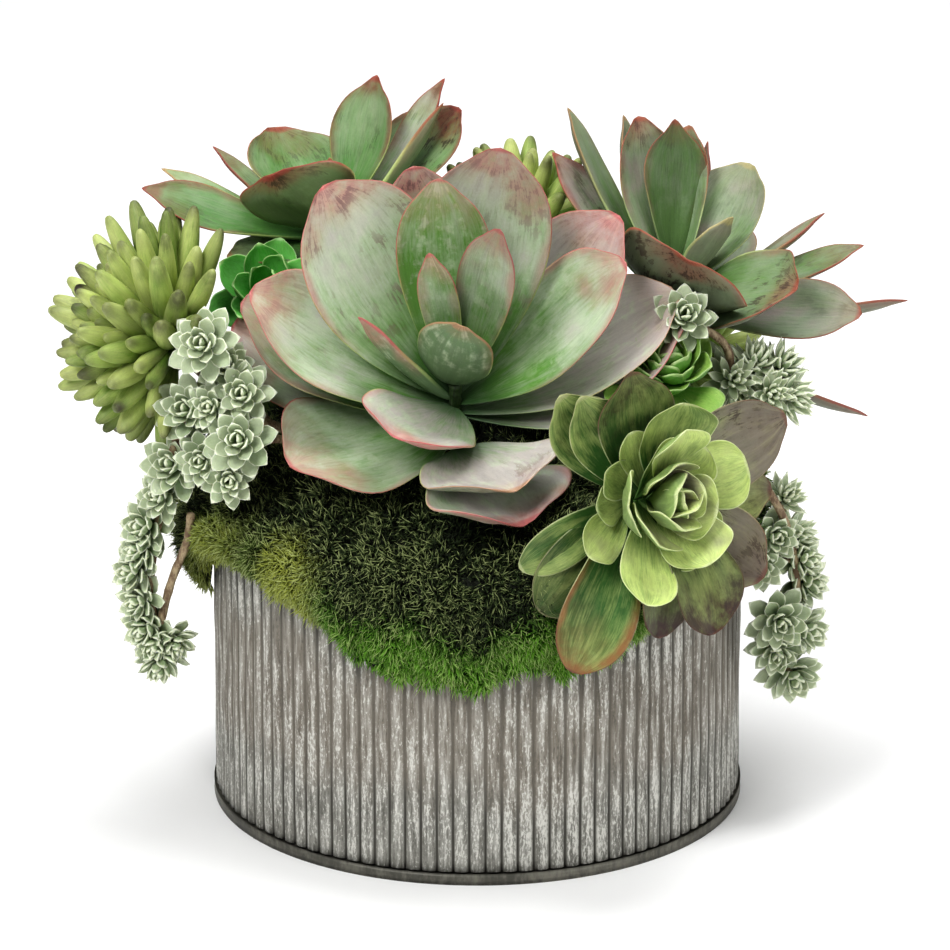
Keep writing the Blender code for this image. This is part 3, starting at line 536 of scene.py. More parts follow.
class Nodes:
    """Short calls that add and join shader nodes in one tree."""

    def __init__(self, tree: bpy.types.NodeTree) -> None:
        """Work in the given tree."""
        self.tree = tree

    def add(self, kind: str, **settings: object) -> bpy.types.Node:
        """Add a node and set its properties.

        Args:
            kind: type name without its ShaderNode start.
            settings: properties of the node.

        Returns:
            The node.
        """
        node = self.tree.nodes.new("ShaderNode" + kind)
        for key, value in settings.items():
            setattr(node, key, value)
        return node

    def feed(self, node: bpy.types.Node, values: dict[str | int, object]) -> bpy.types.Node:
        """Join inputs of a node to other sockets, or set their values.

        Args:
            node: the node.
            values: socket, number or colour by the input's name or number.

        Returns:
            The node.
        """
        for key, value in values.items():
            socket = node.inputs[key]
            if isinstance(value, Socket):
                self.tree.links.new(value, socket)
            elif isinstance(value, tuple) and socket.type == "RGBA":
                socket.default_value = (*value, 1.0)
            else:
                socket.default_value = value
        return node

    def calc(self, operation: str, a: object, b: object, clamp: bool = False) -> Socket:
        """Math node.

        Args:
            operation: its operation.
            a: first value or socket.
            b: second value or socket.
            clamp: keep the result from 0 to 1.

        Returns:
            The result.
        """
        node = self.add("Math", operation=operation, use_clamp=clamp)
        return self.feed(node, {0: a, 1: b}).outputs[0]

    def chain(self, operation: str, values: tuple[object, ...], clamp: bool) -> Socket:
        """Math nodes that take up one value after another.

        Args:
            operation: their operation.
            values: two or more values or sockets.
            clamp: keep the last result from 0 to 1.

        Returns:
            The result.
        """
        total = values[0]
        for number, value in enumerate(values[1:], 2):
            total = self.calc(operation, total, value, clamp and number == len(values))
        return total

    def plus(self, *values: object, clamp: bool = False) -> Socket:
        """Sum of the values."""
        return self.chain("ADD", values, clamp)

    def times(self, *values: object, clamp: bool = False) -> Socket:
        """Product of the values."""
        return self.chain("MULTIPLY", values, clamp)

    def minus(self, a: object, b: object) -> Socket:
        """The first value less the second."""
        return self.calc("SUBTRACT", a, b)

    def swing(self, value: Socket, amount: object) -> Socket:
        """A value's distance from one half, times an amount."""
        return self.times(self.minus(value, 0.5), amount)

    def step(self, value: object, low: object, high: object, start: float = 0.0,
             end: float = 1.0) -> Socket:
        """Smooth step from start to end while the value goes from low to high.

        Args:
            value: socket to step.
            low: where it starts.
            high: where it ends.
            start: result below.
            end: result above.

        Returns:
            The result.
        """
        node = self.add("MapRange", interpolation_type="SMOOTHSTEP")
        return self.feed(node, {"Value": value, "From Min": low, "From Max": high,
                                "To Min": start, "To Max": end}).outputs["Result"]

    def mix(self, share: object, a: object, b: object, blend: str = "MIX") -> Socket:
        """Mix two colours.

        Args:
            share: how much of b.
            a: first colour.
            b: second colour.
            blend: blend type.

        Returns:
            The colour.
        """
        node = self.add("Mix", data_type="RGBA", blend_type=blend, clamp_factor=True)
        return self.feed(node, {0: share, 6: a, 7: b}).outputs[2]

    def noise(self, vector: Socket, scale: object, detail: float = 3.0,
              rough: float = 0.55) -> Socket:
        """Noise of a vector.

        Args:
            vector: coordinates.
            scale: its scale.
            detail: its detail.
            rough: its roughness.

        Returns:
            Number round 0.5.
        """
        return self.feed(self.add("TexNoise"), {"Vector": vector, "Scale": scale,
                                                "Detail": detail,
                                                "Roughness": rough}).outputs["Fac"]

    def place(self) -> Socket:
        """Object coordinates."""
        return self.add("TexCoord").outputs["Object"]

    def stretched(self, vector: Socket, scale: Point) -> Socket:
        """Vector scaled along each axis."""
        return self.feed(self.add("Mapping"), {"Vector": vector, "Scale": scale}).outputs["Vector"]

    def mark(self, name: str) -> tuple[Socket, Socket, Socket, Socket]:
        """The four numbers of a mark.

        Args:
            name: the mark's name.

        Returns:
            Its four sockets.
        """
        read = self.add("Attribute", attribute_name=name)
        split = self.feed(self.add("SeparateColor"), {0: read.outputs["Color"]})
        return (*split.outputs[:3], read.outputs["Alpha"])

    def effect(self, shared: bpy.types.NodeTree, values: dict[str, object]) -> dict[str, Socket]:
        """Place a shared group.

        Args:
            shared: the group.
            values: what its inputs get.

        Returns:
            Its outputs by name.
        """
        node = self.feed(self.add("Group", node_tree=shared), values)
        return {socket.name: socket for socket in node.outputs}


class Effect(Nodes):
    """Nodes of a shared group with named inputs and outputs."""

    def __init__(self, name: str, inputs: dict[str, str], outputs: dict[str, str]) -> None:
        """Start the group.

        Args:
            name: its name.
            inputs: socket types by name, without their NodeSocket start.
            outputs: the same for what it puts out.
        """
        super().__init__(bpy.data.node_groups.new(name, "ShaderNodeTree"))
        for way, sockets in (("INPUT", inputs), ("OUTPUT", outputs)):
            for label, kind in sockets.items():
                self.tree.interface.new_socket(label, in_out=way, socket_type="NodeSocket" + kind)
        entry = self.tree.nodes.new("NodeGroupInput")
        self.given = {socket.name: socket for socket in entry.outputs}

    def put_out(self, **results: Socket) -> bpy.types.NodeTree:
        """Join the group's outputs and hand over the group."""
        return self.feed(self.tree.nodes.new("NodeGroupOutput"), results).id_data


class Coat(Nodes):
    """Nodes of one material with a Principled shader."""

    def __init__(self, name: str) -> None:
        """Start the material.

        Args:
            name: its name.
        """
        self.material = bpy.data.materials.new(name)
        self.material.use_nodes = True
        super().__init__(self.material.node_tree)
        self.shader = self.tree.nodes["Principled BSDF"]

    def finish(self, colour: object, rough: object, plain: dict[str, object] | None = None,
               height: Socket | None = None, strength: float = 0.0,
               distance: float = 0.0) -> Material:
        """Feed the shader.

        Args:
            colour: base colour.
            rough: roughness.
            plain: values of other sockets, the same all over.
            height: height map of the relief, if any.
            strength: of the relief.
            distance: height of 1 in the map, metres.

        Returns:
            The material.
        """
        self.feed(self.shader, {"Base Color": colour, "Roughness": rough, **(plain or {})})
        if height is not None:
            relief = self.feed(self.add("Bump"), {"Strength": strength, "Distance": distance,
                                                  "Height": height})
            self.feed(self.shader, {"Normal": relief.outputs["Normal"]})
        return self.material


SKIN_COLOURS = ("Pale", "Mauve", "Green", "Deep", "Blush", "Fresh Blush", "Rim", "Rim Base",
                "Under", "Speck")
SKIN_NUMBERS = ("Rim Width", "Rim Amount", "Blush Start", "Green Bias", "Streaks", "Bloom")
FOLLOWS = {"Mauve": "Pale", "Fresh Blush": "Blush", "Rim Base": "Rim"}


def make_leaf_skin() -> bpy.types.NodeTree:
    """Group that colours a leaf from its marks: powder, green base, painted shade at the base,
    painted highlights, blush, rim, specks, underside.

    Returns:
        The group.
    """
    inputs = dict.fromkeys(SKIN_COLOURS, "Color") | dict.fromkeys(SKIN_NUMBERS, "Float")
    n = Effect("leaf_skin", inputs, {"Color": "Color", "Roughness": "Float", "Height": "Float"})
    given = n.given
    edge, along, upper, across = n.mark("shape")
    blush, green, speck, tone = n.mark("paint")
    place = n.place()
    broad = n.noise(place, 48.0, 2.0)
    patchy = n.noise(place, 170.0, 4.0, 0.62)
    fine = n.noise(place, 1300.0, 3.0, 0.6)
    leafwise = n.feed(n.add("CombineXYZ"), {0: n.times(across, 7.0), 1: n.times(along, 1.5),
                                            2: n.times(n.plus(tone, blush), 23.0)}).outputs[0]
    streak = n.noise(leafwise, 1.6, 4.0, 0.6)
    hairline = n.noise(leafwise, 6.5, 4.0, 0.65)
    centred = n.minus(broad, 0.5)
    lines = n.swing(streak, given["Streaks"])
    threads = n.swing(hairline, given["Streaks"])

    # Green shows through the powder, most of all at the base and in lengthwise streaks.
    inward = n.step(along, 0.12, 0.80, 0.42, -0.25)
    amount = n.plus(n.times(green, 1.25), given["Green Bias"], inward, n.times(centred, 1.6),
                    n.swing(patchy, 0.5), n.times(lines, 2.0), threads, clamp=True)
    powder = n.mix(n.step(n.plus(green, centred), 0.02, 0.40), given["Mauve"], given["Pale"])
    colour = n.mix(amount, powder, given["Green"])
    # Painted shade: the base of each leaf, and dark lengthwise threads, go towards the shaded base
    # colour.
    shade_and_threads = n.plus(n.step(along, 0.02, 0.40, 0.95, 0.0), n.times(threads, 0.6), clamp=True)
    colour = n.mix(shade_and_threads, colour, given["Deep"])
    colour = n.mix(n.times(n.minus(1.0, upper), 0.80), colour, given["Under"])
    # Powder patches towards the pale colour, which also serve as painted highlights.
    powder_and_sheen = n.times(n.step(n.plus(patchy, n.times(lines, 0.8)), 0.46, 0.70), given["Bloom"],
                    n.step(along, 0.25, 0.60))
    colour = n.mix(powder_and_sheen, colour, given["Pale"])

    # Blush spreads from the tip and the margins, and starts later on the greenest leaves.
    fresh = n.step(green, 0.92, 1.0)
    shifted = n.plus(along, n.times(centred, 0.55))
    tip_zone = n.step(n.minus(shifted, n.times(fresh, 0.20)), given["Blush Start"], 1.05)
    near_rim = n.times(n.step(n.plus(edge, n.times(centred, 9.0)), 0.0, 4.0, 0.75, 0.0),
                       n.step(shifted, 0.30, 0.62))
    red = n.times(n.calc("MAXIMUM", tip_zone, near_rim), blush,
                  n.step(patchy, 0.25, 0.62, 0.45, 1.0), clamp=True)
    colour = n.mix(red, colour, n.mix(fresh, given["Blush"], given["Fresh Blush"]))

    # Dark marks lie in smears along the leaf, more of them towards the tip.
    smear = n.plus(hairline, n.swing(patchy, 1.5), n.swing(fine, 0.3))
    area = n.step(n.plus(broad, n.times(along, 0.30)), 0.56, 0.86)
    colour = n.mix(n.times(n.step(smear, 0.53, 0.70), area, speck, 0.85), colour, given["Speck"])

    # A thin line on the margin ripens to red near the tip.
    width = given["Rim Width"]
    near = n.step(n.plus(edge, n.swing(patchy, 0.9)), n.times(width, 0.35), width, 1.0, 0.0)
    ripe = n.times(n.step(shifted, 0.42, 0.84), n.step(blush, 0.0, 0.5, 0.15, 1.0))
    line = n.mix(ripe, given["Rim Base"], given["Rim"])
    colour = n.mix(n.times(near, n.step(along, 0.15, 0.45), given["Rim Amount"]), colour, line)

    # Brightness varies by leaf, with fine noise, and along the lengthwise streaks, which paint
    # sheen as well as the skin's own streaks.
    bright = n.plus(n.times(tone, 0.6), 0.68, n.swing(fine, 0.25), n.times(lines, 0.9))
    relief = n.plus(n.times(streak, 0.8), n.times(hairline, 0.35), n.times(fine, 0.15))
    return n.put_out(Color=n.mix(1.0, colour, bright, "MULTIPLY"),
                     Roughness=n.plus(n.times(fine, 0.28), 0.36), Height=relief)


def make_grime() -> bpy.types.NodeTree:
    """Group of vertical streaks, flecks and clouds on object coordinates, for weathered sheet.

    Returns:
        The group.
    """
    n = Effect("weather_marks", {"Streak Scale": "Float", "Fleck Scale": "Float"},
               {"Streaks": "Float", "Flecks": "Float", "Clouds": "Float"})
    place = n.place()
    upright, stubby = n.stretched(place, (1.0, 1.0, 0.10)), n.stretched(place, (1.0, 1.0, 0.36))
    return n.put_out(Streaks=n.noise(upright, n.given["Streak Scale"], 4.0, 0.65),
                     Flecks=n.noise(stubby, n.given["Fleck Scale"], 5.0, 0.65),
                     Clouds=n.noise(place, 26.0, 3.0))


# ---- Finishes ----


def srgb(red: int, green: int, blue: int) -> Colour:
    """Linear colour of a screen colour.

    Args:
        red: from 0 to 255.
        green: from 0 to 255.
        blue: from 0 to 255.

    Returns:
        Three numbers from 0 to 1.
    """
    values = np.array([red, green, blue]) / 255.0
    linear = np.where(values <= 0.04045, values / 12.92, ((values + 0.055) / 1.055) ** 2.4)
    return tuple(float(value) for value in linear)


@dataclass(frozen=True)
class LeafFinish:
    """Colours of one kind of leaf.

    Attributes:
        name: the finish.
        slot: the name of its finish.
        pale: powdery upper face.
        green: green of unpowdered skin.
        deep: colour of the painted shade at a leaf's base.
        blush: red or pink of tips.
        rim: thin line on the margin near the tip.
        under: lower face.
        speck: dark marks.
        mauve: powder of leaves that have no green; like pale if not given.
        fresh_blush: blush of the greenest leaves; like blush if not given.
        rim_base: rim line near the base; like rim if not given.
        rim_width: width of the rim line, millimetres.
        rim_amount: strength of the rim line.
        blush_start: share along the leaf where the blush starts.
        green_bias: added greenness.
        streaks: strength of lengthwise streaks.
        bloom: strength of the powder's patches, which also paint highlights.
        glow: share of light that passes through the skin.
        relief: strength of the surface's unevenness.
    """

    name: str
    slot: Slot
    pale: Colour
    green: Colour
    deep: Colour
    blush: Colour
    rim: Colour
    under: Colour
    speck: Colour
    mauve: Colour | None = None
    fresh_blush: Colour | None = None
    rim_base: Colour | None = None
    rim_width: float = 0.9
    rim_amount: float = 0.7
    blush_start: float = 0.72
    green_bias: float = 0.0
    streaks: float = 0.7
    bloom: float = 0.3
    glow: float = 0.12
    relief: float = 0.35

    def value(self, label: str) -> Colour | float:
        """Value for one input of the leaf skin, or for the input that it follows if not given."""
        own = getattr(self, label.lower().replace(" ", "_"))
        return self.value(FOLLOWS[label]) if own is None else own

    def build(self, skin: bpy.types.NodeTree) -> Material:
        """Material of the finish.

        Args:
            skin: the leaf skin group.

        Returns:
            The material.
        """
        n = Coat(self.name)
        out = n.effect(skin, {label: self.value(label) for label in SKIN_COLOURS + SKIN_NUMBERS})
        plain = {"Subsurface Weight": self.glow, "Subsurface Radius": (1.0, 0.9, 0.4),
                 "Subsurface Scale": 0.002, "Specular IOR Level": 0.35}
        return n.finish(out["Color"], out["Roughness"], plain, out["Height"], self.relief, 0.0006)


PALE_FINISH = LeafFinish(
    "frosted_echeveria_skin", Slot.PALE, pale=srgb(184, 196, 170), mauve=srgb(176, 170, 164),
    green=srgb(92, 136, 60), deep=srgb(50, 80, 44), blush=srgb(176, 118, 114),
    fresh_blush=srgb(172, 110, 92), rim=srgb(172, 88, 88), rim_base=srgb(170, 190, 122),
    under=srgb(108, 130, 100), speck=srgb(112, 84, 84), rim_width=0.65, rim_amount=0.8,
    bloom=0.60)
GREEN_FINISH = LeafFinish(
    "green_echeveria_skin", Slot.GREEN, pale=srgb(146, 166, 126), mauve=srgb(176, 174, 164),
    green=srgb(82, 128, 62), deep=srgb(50, 80, 46), blush=srgb(130, 66, 54),
    rim=srgb(142, 62, 52), rim_base=srgb(176, 194, 124), under=srgb(104, 124, 80),
    speck=srgb(58, 54, 38), rim_width=0.75, rim_amount=0.85, blush_start=0.76, bloom=0.25)
GREY_FINISH = LeafFinish(
    "grey_echeveria_skin", Slot.GREY, pale=srgb(140, 154, 126), mauve=srgb(152, 140, 134),
    green=srgb(90, 122, 66), deep=srgb(52, 76, 46), blush=srgb(134, 82, 70),
    fresh_blush=srgb(126, 74, 58), rim=srgb(146, 76, 60), rim_base=srgb(166, 184, 128),
    under=srgb(116, 124, 102), speck=srgb(62, 48, 42), rim_width=0.75, rim_amount=0.85,
    blush_start=0.78)
AEONIUM_FINISH = LeafFinish(
    "aeonium_skin", Slot.AEONIUM, pale=srgb(194, 211, 130), mauve=srgb(130, 124, 108),
    green=srgb(56, 98, 42), deep=srgb(70, 110, 50), blush=srgb(78, 46, 42),
    fresh_blush=srgb(150, 76, 50), rim=srgb(104, 62, 54), rim_base=srgb(208, 220, 166),
    under=srgb(102, 128, 74), speck=srgb(64, 50, 42), green_bias=-0.15, rim_width=0.6,
    rim_amount=0.75, blush_start=0.42, bloom=0.1, streaks=0.9, glow=0.15)
BUD_FINISH = LeafFinish(
    "bud_skin", Slot.BUD, pale=srgb(160, 194, 100), mauve=srgb(156, 190, 104),
    green=srgb(92, 146, 52), deep=srgb(44, 110, 26), blush=srgb(110, 120, 60),
    rim=srgb(186, 206, 150), rim_base=srgb(186, 214, 150), under=srgb(84, 142, 64),
    speck=srgb(40, 90, 30), rim_width=0.6, glow=0.10)
EMERALD_FINISH = replace(BUD_FINISH, name="emerald_skin", pale=srgb(130, 204, 112),
                         green=srgb(70, 158, 52), deep=srgb(30, 92, 28), rim=srgb(160, 206, 150))
FINGER_FINISH = LeafFinish(
    "finger_sedum_skin", Slot.FINGER, pale=srgb(190, 200, 128), green=srgb(100, 136, 52),
    deep=srgb(52, 82, 28), blush=srgb(62, 56, 42), rim=srgb(196, 206, 150),
    under=srgb(134, 154, 74), speck=srgb(84, 96, 52), rim_width=0.3, rim_amount=0.0,
    blush_start=0.80, bloom=0.2, streaks=0.9, glow=0.15)
SAGE_FINISH = LeafFinish(
    "sage_sedum_skin", Slot.SAGE, pale=srgb(192, 203, 172), green=srgb(124, 147, 104),
    deep=srgb(62, 84, 52), blush=srgb(140, 144, 104), rim=srgb(226, 231, 208),
    under=srgb(132, 152, 114), speck=srgb(90, 100, 72), rim_width=0.55, rim_amount=0.9,
    bloom=0.15, streaks=0.3, relief=0.1)
LEAF_FINISHES = (PALE_FINISH, GREEN_FINISH, GREY_FINISH, AEONIUM_FINISH, BUD_FINISH,
                 EMERALD_FINISH, FINGER_FINISH, SAGE_FINISH)


@dataclass(frozen=True)
class StemFinish:
    """Bark of the stems: pinkish brown with pale rings.

    Attributes:
        name: the material's name.
        dark: colour of the bark.
        light: colour of its pale rings.
    """

    name: str = "succulent_stem_bark"
    dark: Colour = srgb(112, 90, 70)
    light: Colour = srgb(168, 150, 120)

    def build(self) -> Material:
        """Material of the bark.

        Returns:
            The material.
        """
        n = Coat(self.name)
        mask = n.step(n.noise(n.stretched(n.place(), (1.0, 1.0, 0.5)), 420.0, 4.0, 0.7), 0.38, 0.62)
        return n.finish(n.mix(mask, self.dark, self.light), n.step(mask, 0.0, 1.0, 0.75, 0.6), {},
                        mask, 0.5, 0.0006)


@dataclass(frozen=True)
class MossFinish:
    """Moss: painted shade of near-black green inside, bright dyed green at the hem, yellowish in
    patches, painted highlights on the tips.

    Attributes:
        name: the material's name.
        deep: painted shade between the tufts, at the strands' feet.
        middle: colour halfway up a strand.
        pale: painted highlight on the tips.
        bright: green of the dyed hem, strongest on the tips, where it also paints highlights.
        yellow: colour of the patches.
    """

    name: str = "moss_tufts"
    deep: Colour = srgb(17, 22, 11)
    middle: Colour = srgb(68, 90, 41)
    pale: Colour = srgb(182, 192, 132)
    bright: Colour = srgb(110, 168, 46)
    yellow: Colour = srgb(176, 184, 84)

    def build(self) -> Material:
        """Material of the tufts and of the mat under them.

        Returns:
            The material.
        """
        n = Coat(self.name)
        lush, yellow, tip, luck = n.mark("paint")
        cloud = n.noise(n.place(), 120.0, 3.0)
        # Painted shade: strand feet stay near-black, and only lucky tips rise to the middle green.
        unshaded = n.times(n.step(tip, 0.0, 1.0), n.step(luck, 0.1, 0.9, 0.15, 1.0))
        colour = n.mix(unshaded, self.deep, self.middle)
        # Dyed green of the hem, strongest on the strand tips, where it also paints highlights.
        dyed_and_lit = n.times(lush, n.step(tip, 0.0, 0.8, 0.10, 1.0),
                      n.step(n.plus(luck, cloud), 0.35, 1.05, 0.30, 1.0))
        colour = n.mix(dyed_and_lit, colour, self.bright)
        warm = n.times(yellow, n.step(tip, 0.0, 0.9, 0.10, 0.95))
        colour = n.mix(warm, colour, self.yellow)
        # Painted highlight on the tips of lucky strands.
        tip_highlight = n.times(n.step(tip, 0.35, 1.0), n.step(luck, 0.55, 0.95, 0.0, 0.90))
        return n.finish(n.mix(tip_highlight, colour, self.pale), n.step(cloud, 0.3, 0.7, 0.55, 0.8),
                        {"Specular IOR Level": 0.3}, n.noise(n.place(), 700.0, 4.0, 0.7),
                        0.6, 0.0012)


@dataclass(frozen=True)
class ZincFinish:
    """Weathered zinc sheet: grey ribs with lime streaks, dark grooves, a taupe band, and painted
    shadow below the moss.

    Attributes:
        name: the material's name.
        groove: colour between the ribs.
        grey: colour of the ribs.
        taupe: colour of the band.
        lime: colour of the streaks.
    """

    name: str = "limed_zinc_sheet"
    groove: Colour = srgb(62, 60, 54)
    grey: Colour = srgb(118, 117, 110)
    taupe: Colour = srgb(116, 109, 98)
    lime: Colour = srgb(204, 203, 196)

    def build(self, grime: bpy.types.NodeTree) -> Material:
        """Material of the wall and the rim.

        Args:
            grime: the weathering group.

        Returns:
            The material.
        """
        n = Coat(self.name)
        ridge, _, height, shade = n.mark("shape")
        out = n.effect(grime, {"Streak Scale": 520.0, "Fleck Scale": 1500.0})
        streaks, flecks, cloud = out["Streaks"], out["Flecks"], out["Clouds"]
        level = n.plus(height, n.swing(cloud, 0.5))
        smudge = n.times(n.step(level, 0.22, 0.40), n.step(level, 0.66, 0.86, 1.0, 0.0))
        # Painted shadow of the moss: the dark grooves widen just below the hem.
        moss_shadow = n.times(shade, n.step(cloud, 0.30, 0.55), 0.34)
        depth = n.calc("MAXIMUM", n.step(n.minus(ridge, moss_shadow), 0.10, 0.62), n.times(smudge, 0.72))
        sheet = n.mix(n.times(smudge, 0.85), self.grey, self.taupe)
        streaky = n.times(n.step(streaks, 0.36, 0.66, 0.0, 0.45), n.step(ridge, 0.3, 1.0))
        sheet = n.mix(streaky, sheet, self.lime)
        limed = n.plus(flecks, n.times(streaks, 0.55), n.times(cloud, 0.3), n.times(smudge, -0.05))
        limed = n.times(n.step(limed, 0.92, 1.04), n.step(ridge, 0.35, 0.9, 0.10, 0.90))
        colour = n.mix(depth, self.groove, n.mix(limed, sheet, self.lime))
        dirt = n.step(n.plus(flecks, streaks), 0.72, 0.94, 0.55, 0.0)
        return n.finish(n.mix(dirt, colour, self.groove), n.step(flecks, 0.3, 0.7, 0.55, 0.8),
                        {"Metallic": 0.25}, n.plus(n.times(streaks, 0.6), limed), 0.35, 0.0004)


@dataclass(frozen=True)
class DarkZincFinish:
    """Tarnished zinc of the foot ring.

    Attributes:
        name: the material's name.
        dark: its darker colour.
        light: its lighter colour.
    """

    name: str = "tarnished_zinc_ring"
    dark: Colour = srgb(74, 73, 66)
    light: Colour = srgb(118, 116, 106)

    def build(self, grime: bpy.types.NodeTree) -> Material:
        """Material of the ring.

        Args:
            grime: the weathering group.

        Returns:
            The material.
        """
        n = Coat(self.name)
        out = n.effect(grime, {"Streak Scale": 60.0, "Fleck Scale": 500.0})
        share = n.step(n.plus(out["Flecks"], out["Clouds"]), 0.8, 1.25)
        return n.finish(n.mix(share, self.dark, self.light),
                        n.step(out["Flecks"], 0.3, 0.7, 0.42, 0.6), {"Metallic": 0.35},
                        out["Flecks"], 0.15, 0.0003)


@dataclass(frozen=True)
class SoilFinish:
    """Dark crumbly potting mix.

    Attributes:
        name: the material's name.
        dark: colour between the crumbs.
        light: colour of the crumbs.
    """

    name: str = "dark_potting_mix"
    dark: Colour = srgb(28, 22, 18)
    light: Colour = srgb(70, 56, 44)

    def build(self) -> Material:
        """Material of the mound.

        Returns:
            The material.
        """
        n = Coat(self.name)
        crumbs = n.noise(n.place(), 520.0, 5.0, 0.7)
        return n.finish(n.mix(n.step(crumbs, 0.35, 0.7), self.dark, self.light),
                        n.step(crumbs, 0.3, 0.7, 0.85, 0.98), {}, crumbs, 0.8, 0.001)


# ---- Pot ----


@dataclass
class Pot:
    """Corrugated zinc wall with its rolled rim and foot ring.

    Attributes:
        radius: of the wall over its ribs.
        height: of the rim's middle.
        thickness: of the wall.
        ribs: number of ribs.
        rib_points: points round the wall for each rib.
        rib_depth: depth of a groove.
        base_height: height of the foot ring.
        base_plate: thickness of the floor.
        base_radius: of the foot ring.
        base_lip: width of the small lip at both edges of the foot ring.
        bead: radius of the rolled rim.
        bead_inset: how far the bead's middle lies inside the wall's radius.
        gap: clearance between pieces.
        rows: points up the wall.
        shade_reach: how far below the moss the wall is shaded.
    """

    radius: float = 0.1016
    height: float = 0.117
    thickness: float = 0.0021
    ribs: int = 104
    rib_points: int = 10
    rib_depth: float = 0.0011
    base_height: float = 0.0045
    base_plate: float = 0.0016
    base_radius: float = 0.1023
    base_lip: float = 0.0009
    bead: float = 0.0018
    bead_inset: float = 0.0004
    gap: float = 0.0003
    rows: int = 24
    shade_reach: float = 0.026

    def wall(self, material: Material, moss: "Moss") -> Piece:
        """Sheet whose outer radius is R - depth (1 - |cos(N a / 2)|^0.55) - |dents|.

        The power below 1 makes the grooves narrow. The marks are how near the ridge of its rib a
        point lies, how high it is, and how far it lies in the shade of the moss.

        Args:
            material: its finish.
            moss: the mat that hangs over it.

        Returns:
            The wall.
        """
        angle = full_turn(self.ribs * self.rib_points)
        ridge = np.abs(np.cos(0.5 * self.ribs * angle)) ** 0.55
        bottom, top = self.base_height + self.gap, self.height - self.bead - self.gap
        levels = np.linspace(bottom, top, self.rows)[:, None]
        dents = (0.00022 * np.sin(3 * angle + 40 * levels)
                 + 0.00014 * np.sin(11 * angle - 90 * levels))
        outer = self.radius - self.rib_depth * (1.0 - ridge) - np.abs(dents)
        inner = np.full((2, len(angle)), self.radius - self.thickness)
        heights = np.concatenate([levels, [[top], [bottom]]])
        points = round_axis(np.concatenate([outer, inner]), angle, heights)
        shade = 1.0 - smooth(moss.hem(angle) - heights, 0.0, self.shade_reach)
        shape = stacked(ridge, 0.0, heights / self.height, shade)
        surface = Surface().add(points.reshape(-1, 3), loop_faces(len(heights), len(angle)),
                                shape.reshape(-1, 4))
        return surface.build("pot_wall_sheet", material, Slot.ZINC, "pot_wall")

    def rim(self, material: Material) -> Piece:
        """Rolled bead: a circle of the bead's radius carried round the wall's top.

        Args:
            material: its finish.

        Returns:
            The bead.
        """
        angle, turn = full_turn(144), full_turn(14)[:, None]
        reach = self.radius - self.bead_inset + self.bead * np.cos(turn)
        level = self.height + self.bead * np.sin(turn)
        shape = stacked(np.ones_like(angle), 0.0, level / self.height, 0.0)
        surface = Surface().add(round_axis(reach, angle, level).reshape(-1, 3),
                                loop_faces(len(turn), len(angle)), shape.reshape(-1, 4))
        return surface.build("pot_rim_bead", material, Slot.ZINC, "pot_rim")

    def base(self, material: Material) -> Piece:
        """Foot: a turned profile from the middle of the floor out, up the ring and back in.

        Args:
            material: its finish.

        Returns:
            The foot.
        """
        ring, high, plate = self.base_radius, self.base_height, self.base_plate
        inside = self.radius - self.thickness - 0.001
        quarter = np.linspace(0.0, np.pi / 2.0, 5)
        soft = self.base_lip * (1.0 - np.cos(quarter))
        hard = self.base_lip * (1.0 - np.sin(quarter))
        waist = ring - 0.0002
        reach = np.concatenate([[0.03, 0.07, 0.095], ring - soft[::-1], [waist, waist],
                                ring - soft, [inside, inside, 0.06, 0.03]])
        level = np.concatenate([[0.0, 0.0, 0.0], hard, [0.0020, 0.0026],
                                high - hard[::-1], [high, plate, plate, plate]])
        grid = TubeGrid(len(reach), 160)
        _, cosine, sine = grid.parameters()
        reach = grid.ringwise(reach, 0.0, 0.0)
        points = stacked(reach * cosine, reach * sine, grid.ringwise(level, 0.0, plate))
        surface = Surface().add(points, grid.faces(), NEUTRAL)
        return surface.build("pot_foot_ring", material, Slot.DARK_ZINC, "pot_base")


# ---- Moss ----


def bump(angle: Array, centre: float, spread: float, power: float = 2.0) -> Array:
    """Bump of height 1 at an azimuth: exp(-|(angle - centre) / spread|^power), wrapped round.

    Args:
        angle: azimuths in radians.
        centre: where it stands, degrees.
        spread: its width, degrees.
        power: steepness of its sides.

    Returns:
        Heights from 0 to 1.
    """
    turn = np.angle(np.exp(1j * (angle - math.radians(centre))))
    return np.exp(-np.abs(turn / math.radians(spread)) ** power)


@dataclass(frozen=True)
class StrandZone:
    """A stretch of the mat and how its tufts grow.

    Attributes:
        name: the zone.
        seed: seed of the tufts.
        tufts: number of tufts.
        each: strands in a tuft.
        start: nearest share along the mat, 0 at the crown and 1 at the hem.
        end: farthest share.
        front: share of tufts in the front arc.
        length: shortest and longest strand.
        width: of a strand at its foot.
        reach: radius of a tuft's foot.
        fan: how far the strands of a tuft lean apart.
        droop: pull downwards.
    """

    name: str
    seed: int
    tufts: int
    each: int
    start: float
    end: float
    front: float
    length: tuple[float, float]
    width: float
    reach: float
    fan: float
    droop: float


MOSS_ZONES = (
    StrandZone("crown_tufts", seed=61, tufts=1250, each=24, start=0.05, end=0.60, front=0.75,
               length=(0.0035, 0.0080), width=0.0007, reach=0.0034, fan=0.9, droop=0.2),
    StrandZone("skirt_tufts", seed=62, tufts=1300, each=24, start=0.56, end=0.90, front=0.80,
               length=(0.0035, 0.0080), width=0.0006, reach=0.0032, fan=0.9, droop=0.4),
    StrandZone("hem_tufts", seed=63, tufts=1050, each=22, start=0.84, end=0.99, front=0.80,
               length=(0.0030, 0.0062), width=0.0005, reach=0.0022, fan=1.0, droop=0.6),
)
# Lobes that hang below the hem's level: depth, azimuth and spread in degrees, and steepness.
HEM_LOBES = ((0.031, 271, 37, 5), (0.024, 187, 11, 2), (0.016, 75, 14, 2), (0.010, 130, 10, 2),
             (0.013, 25, 9, 2))
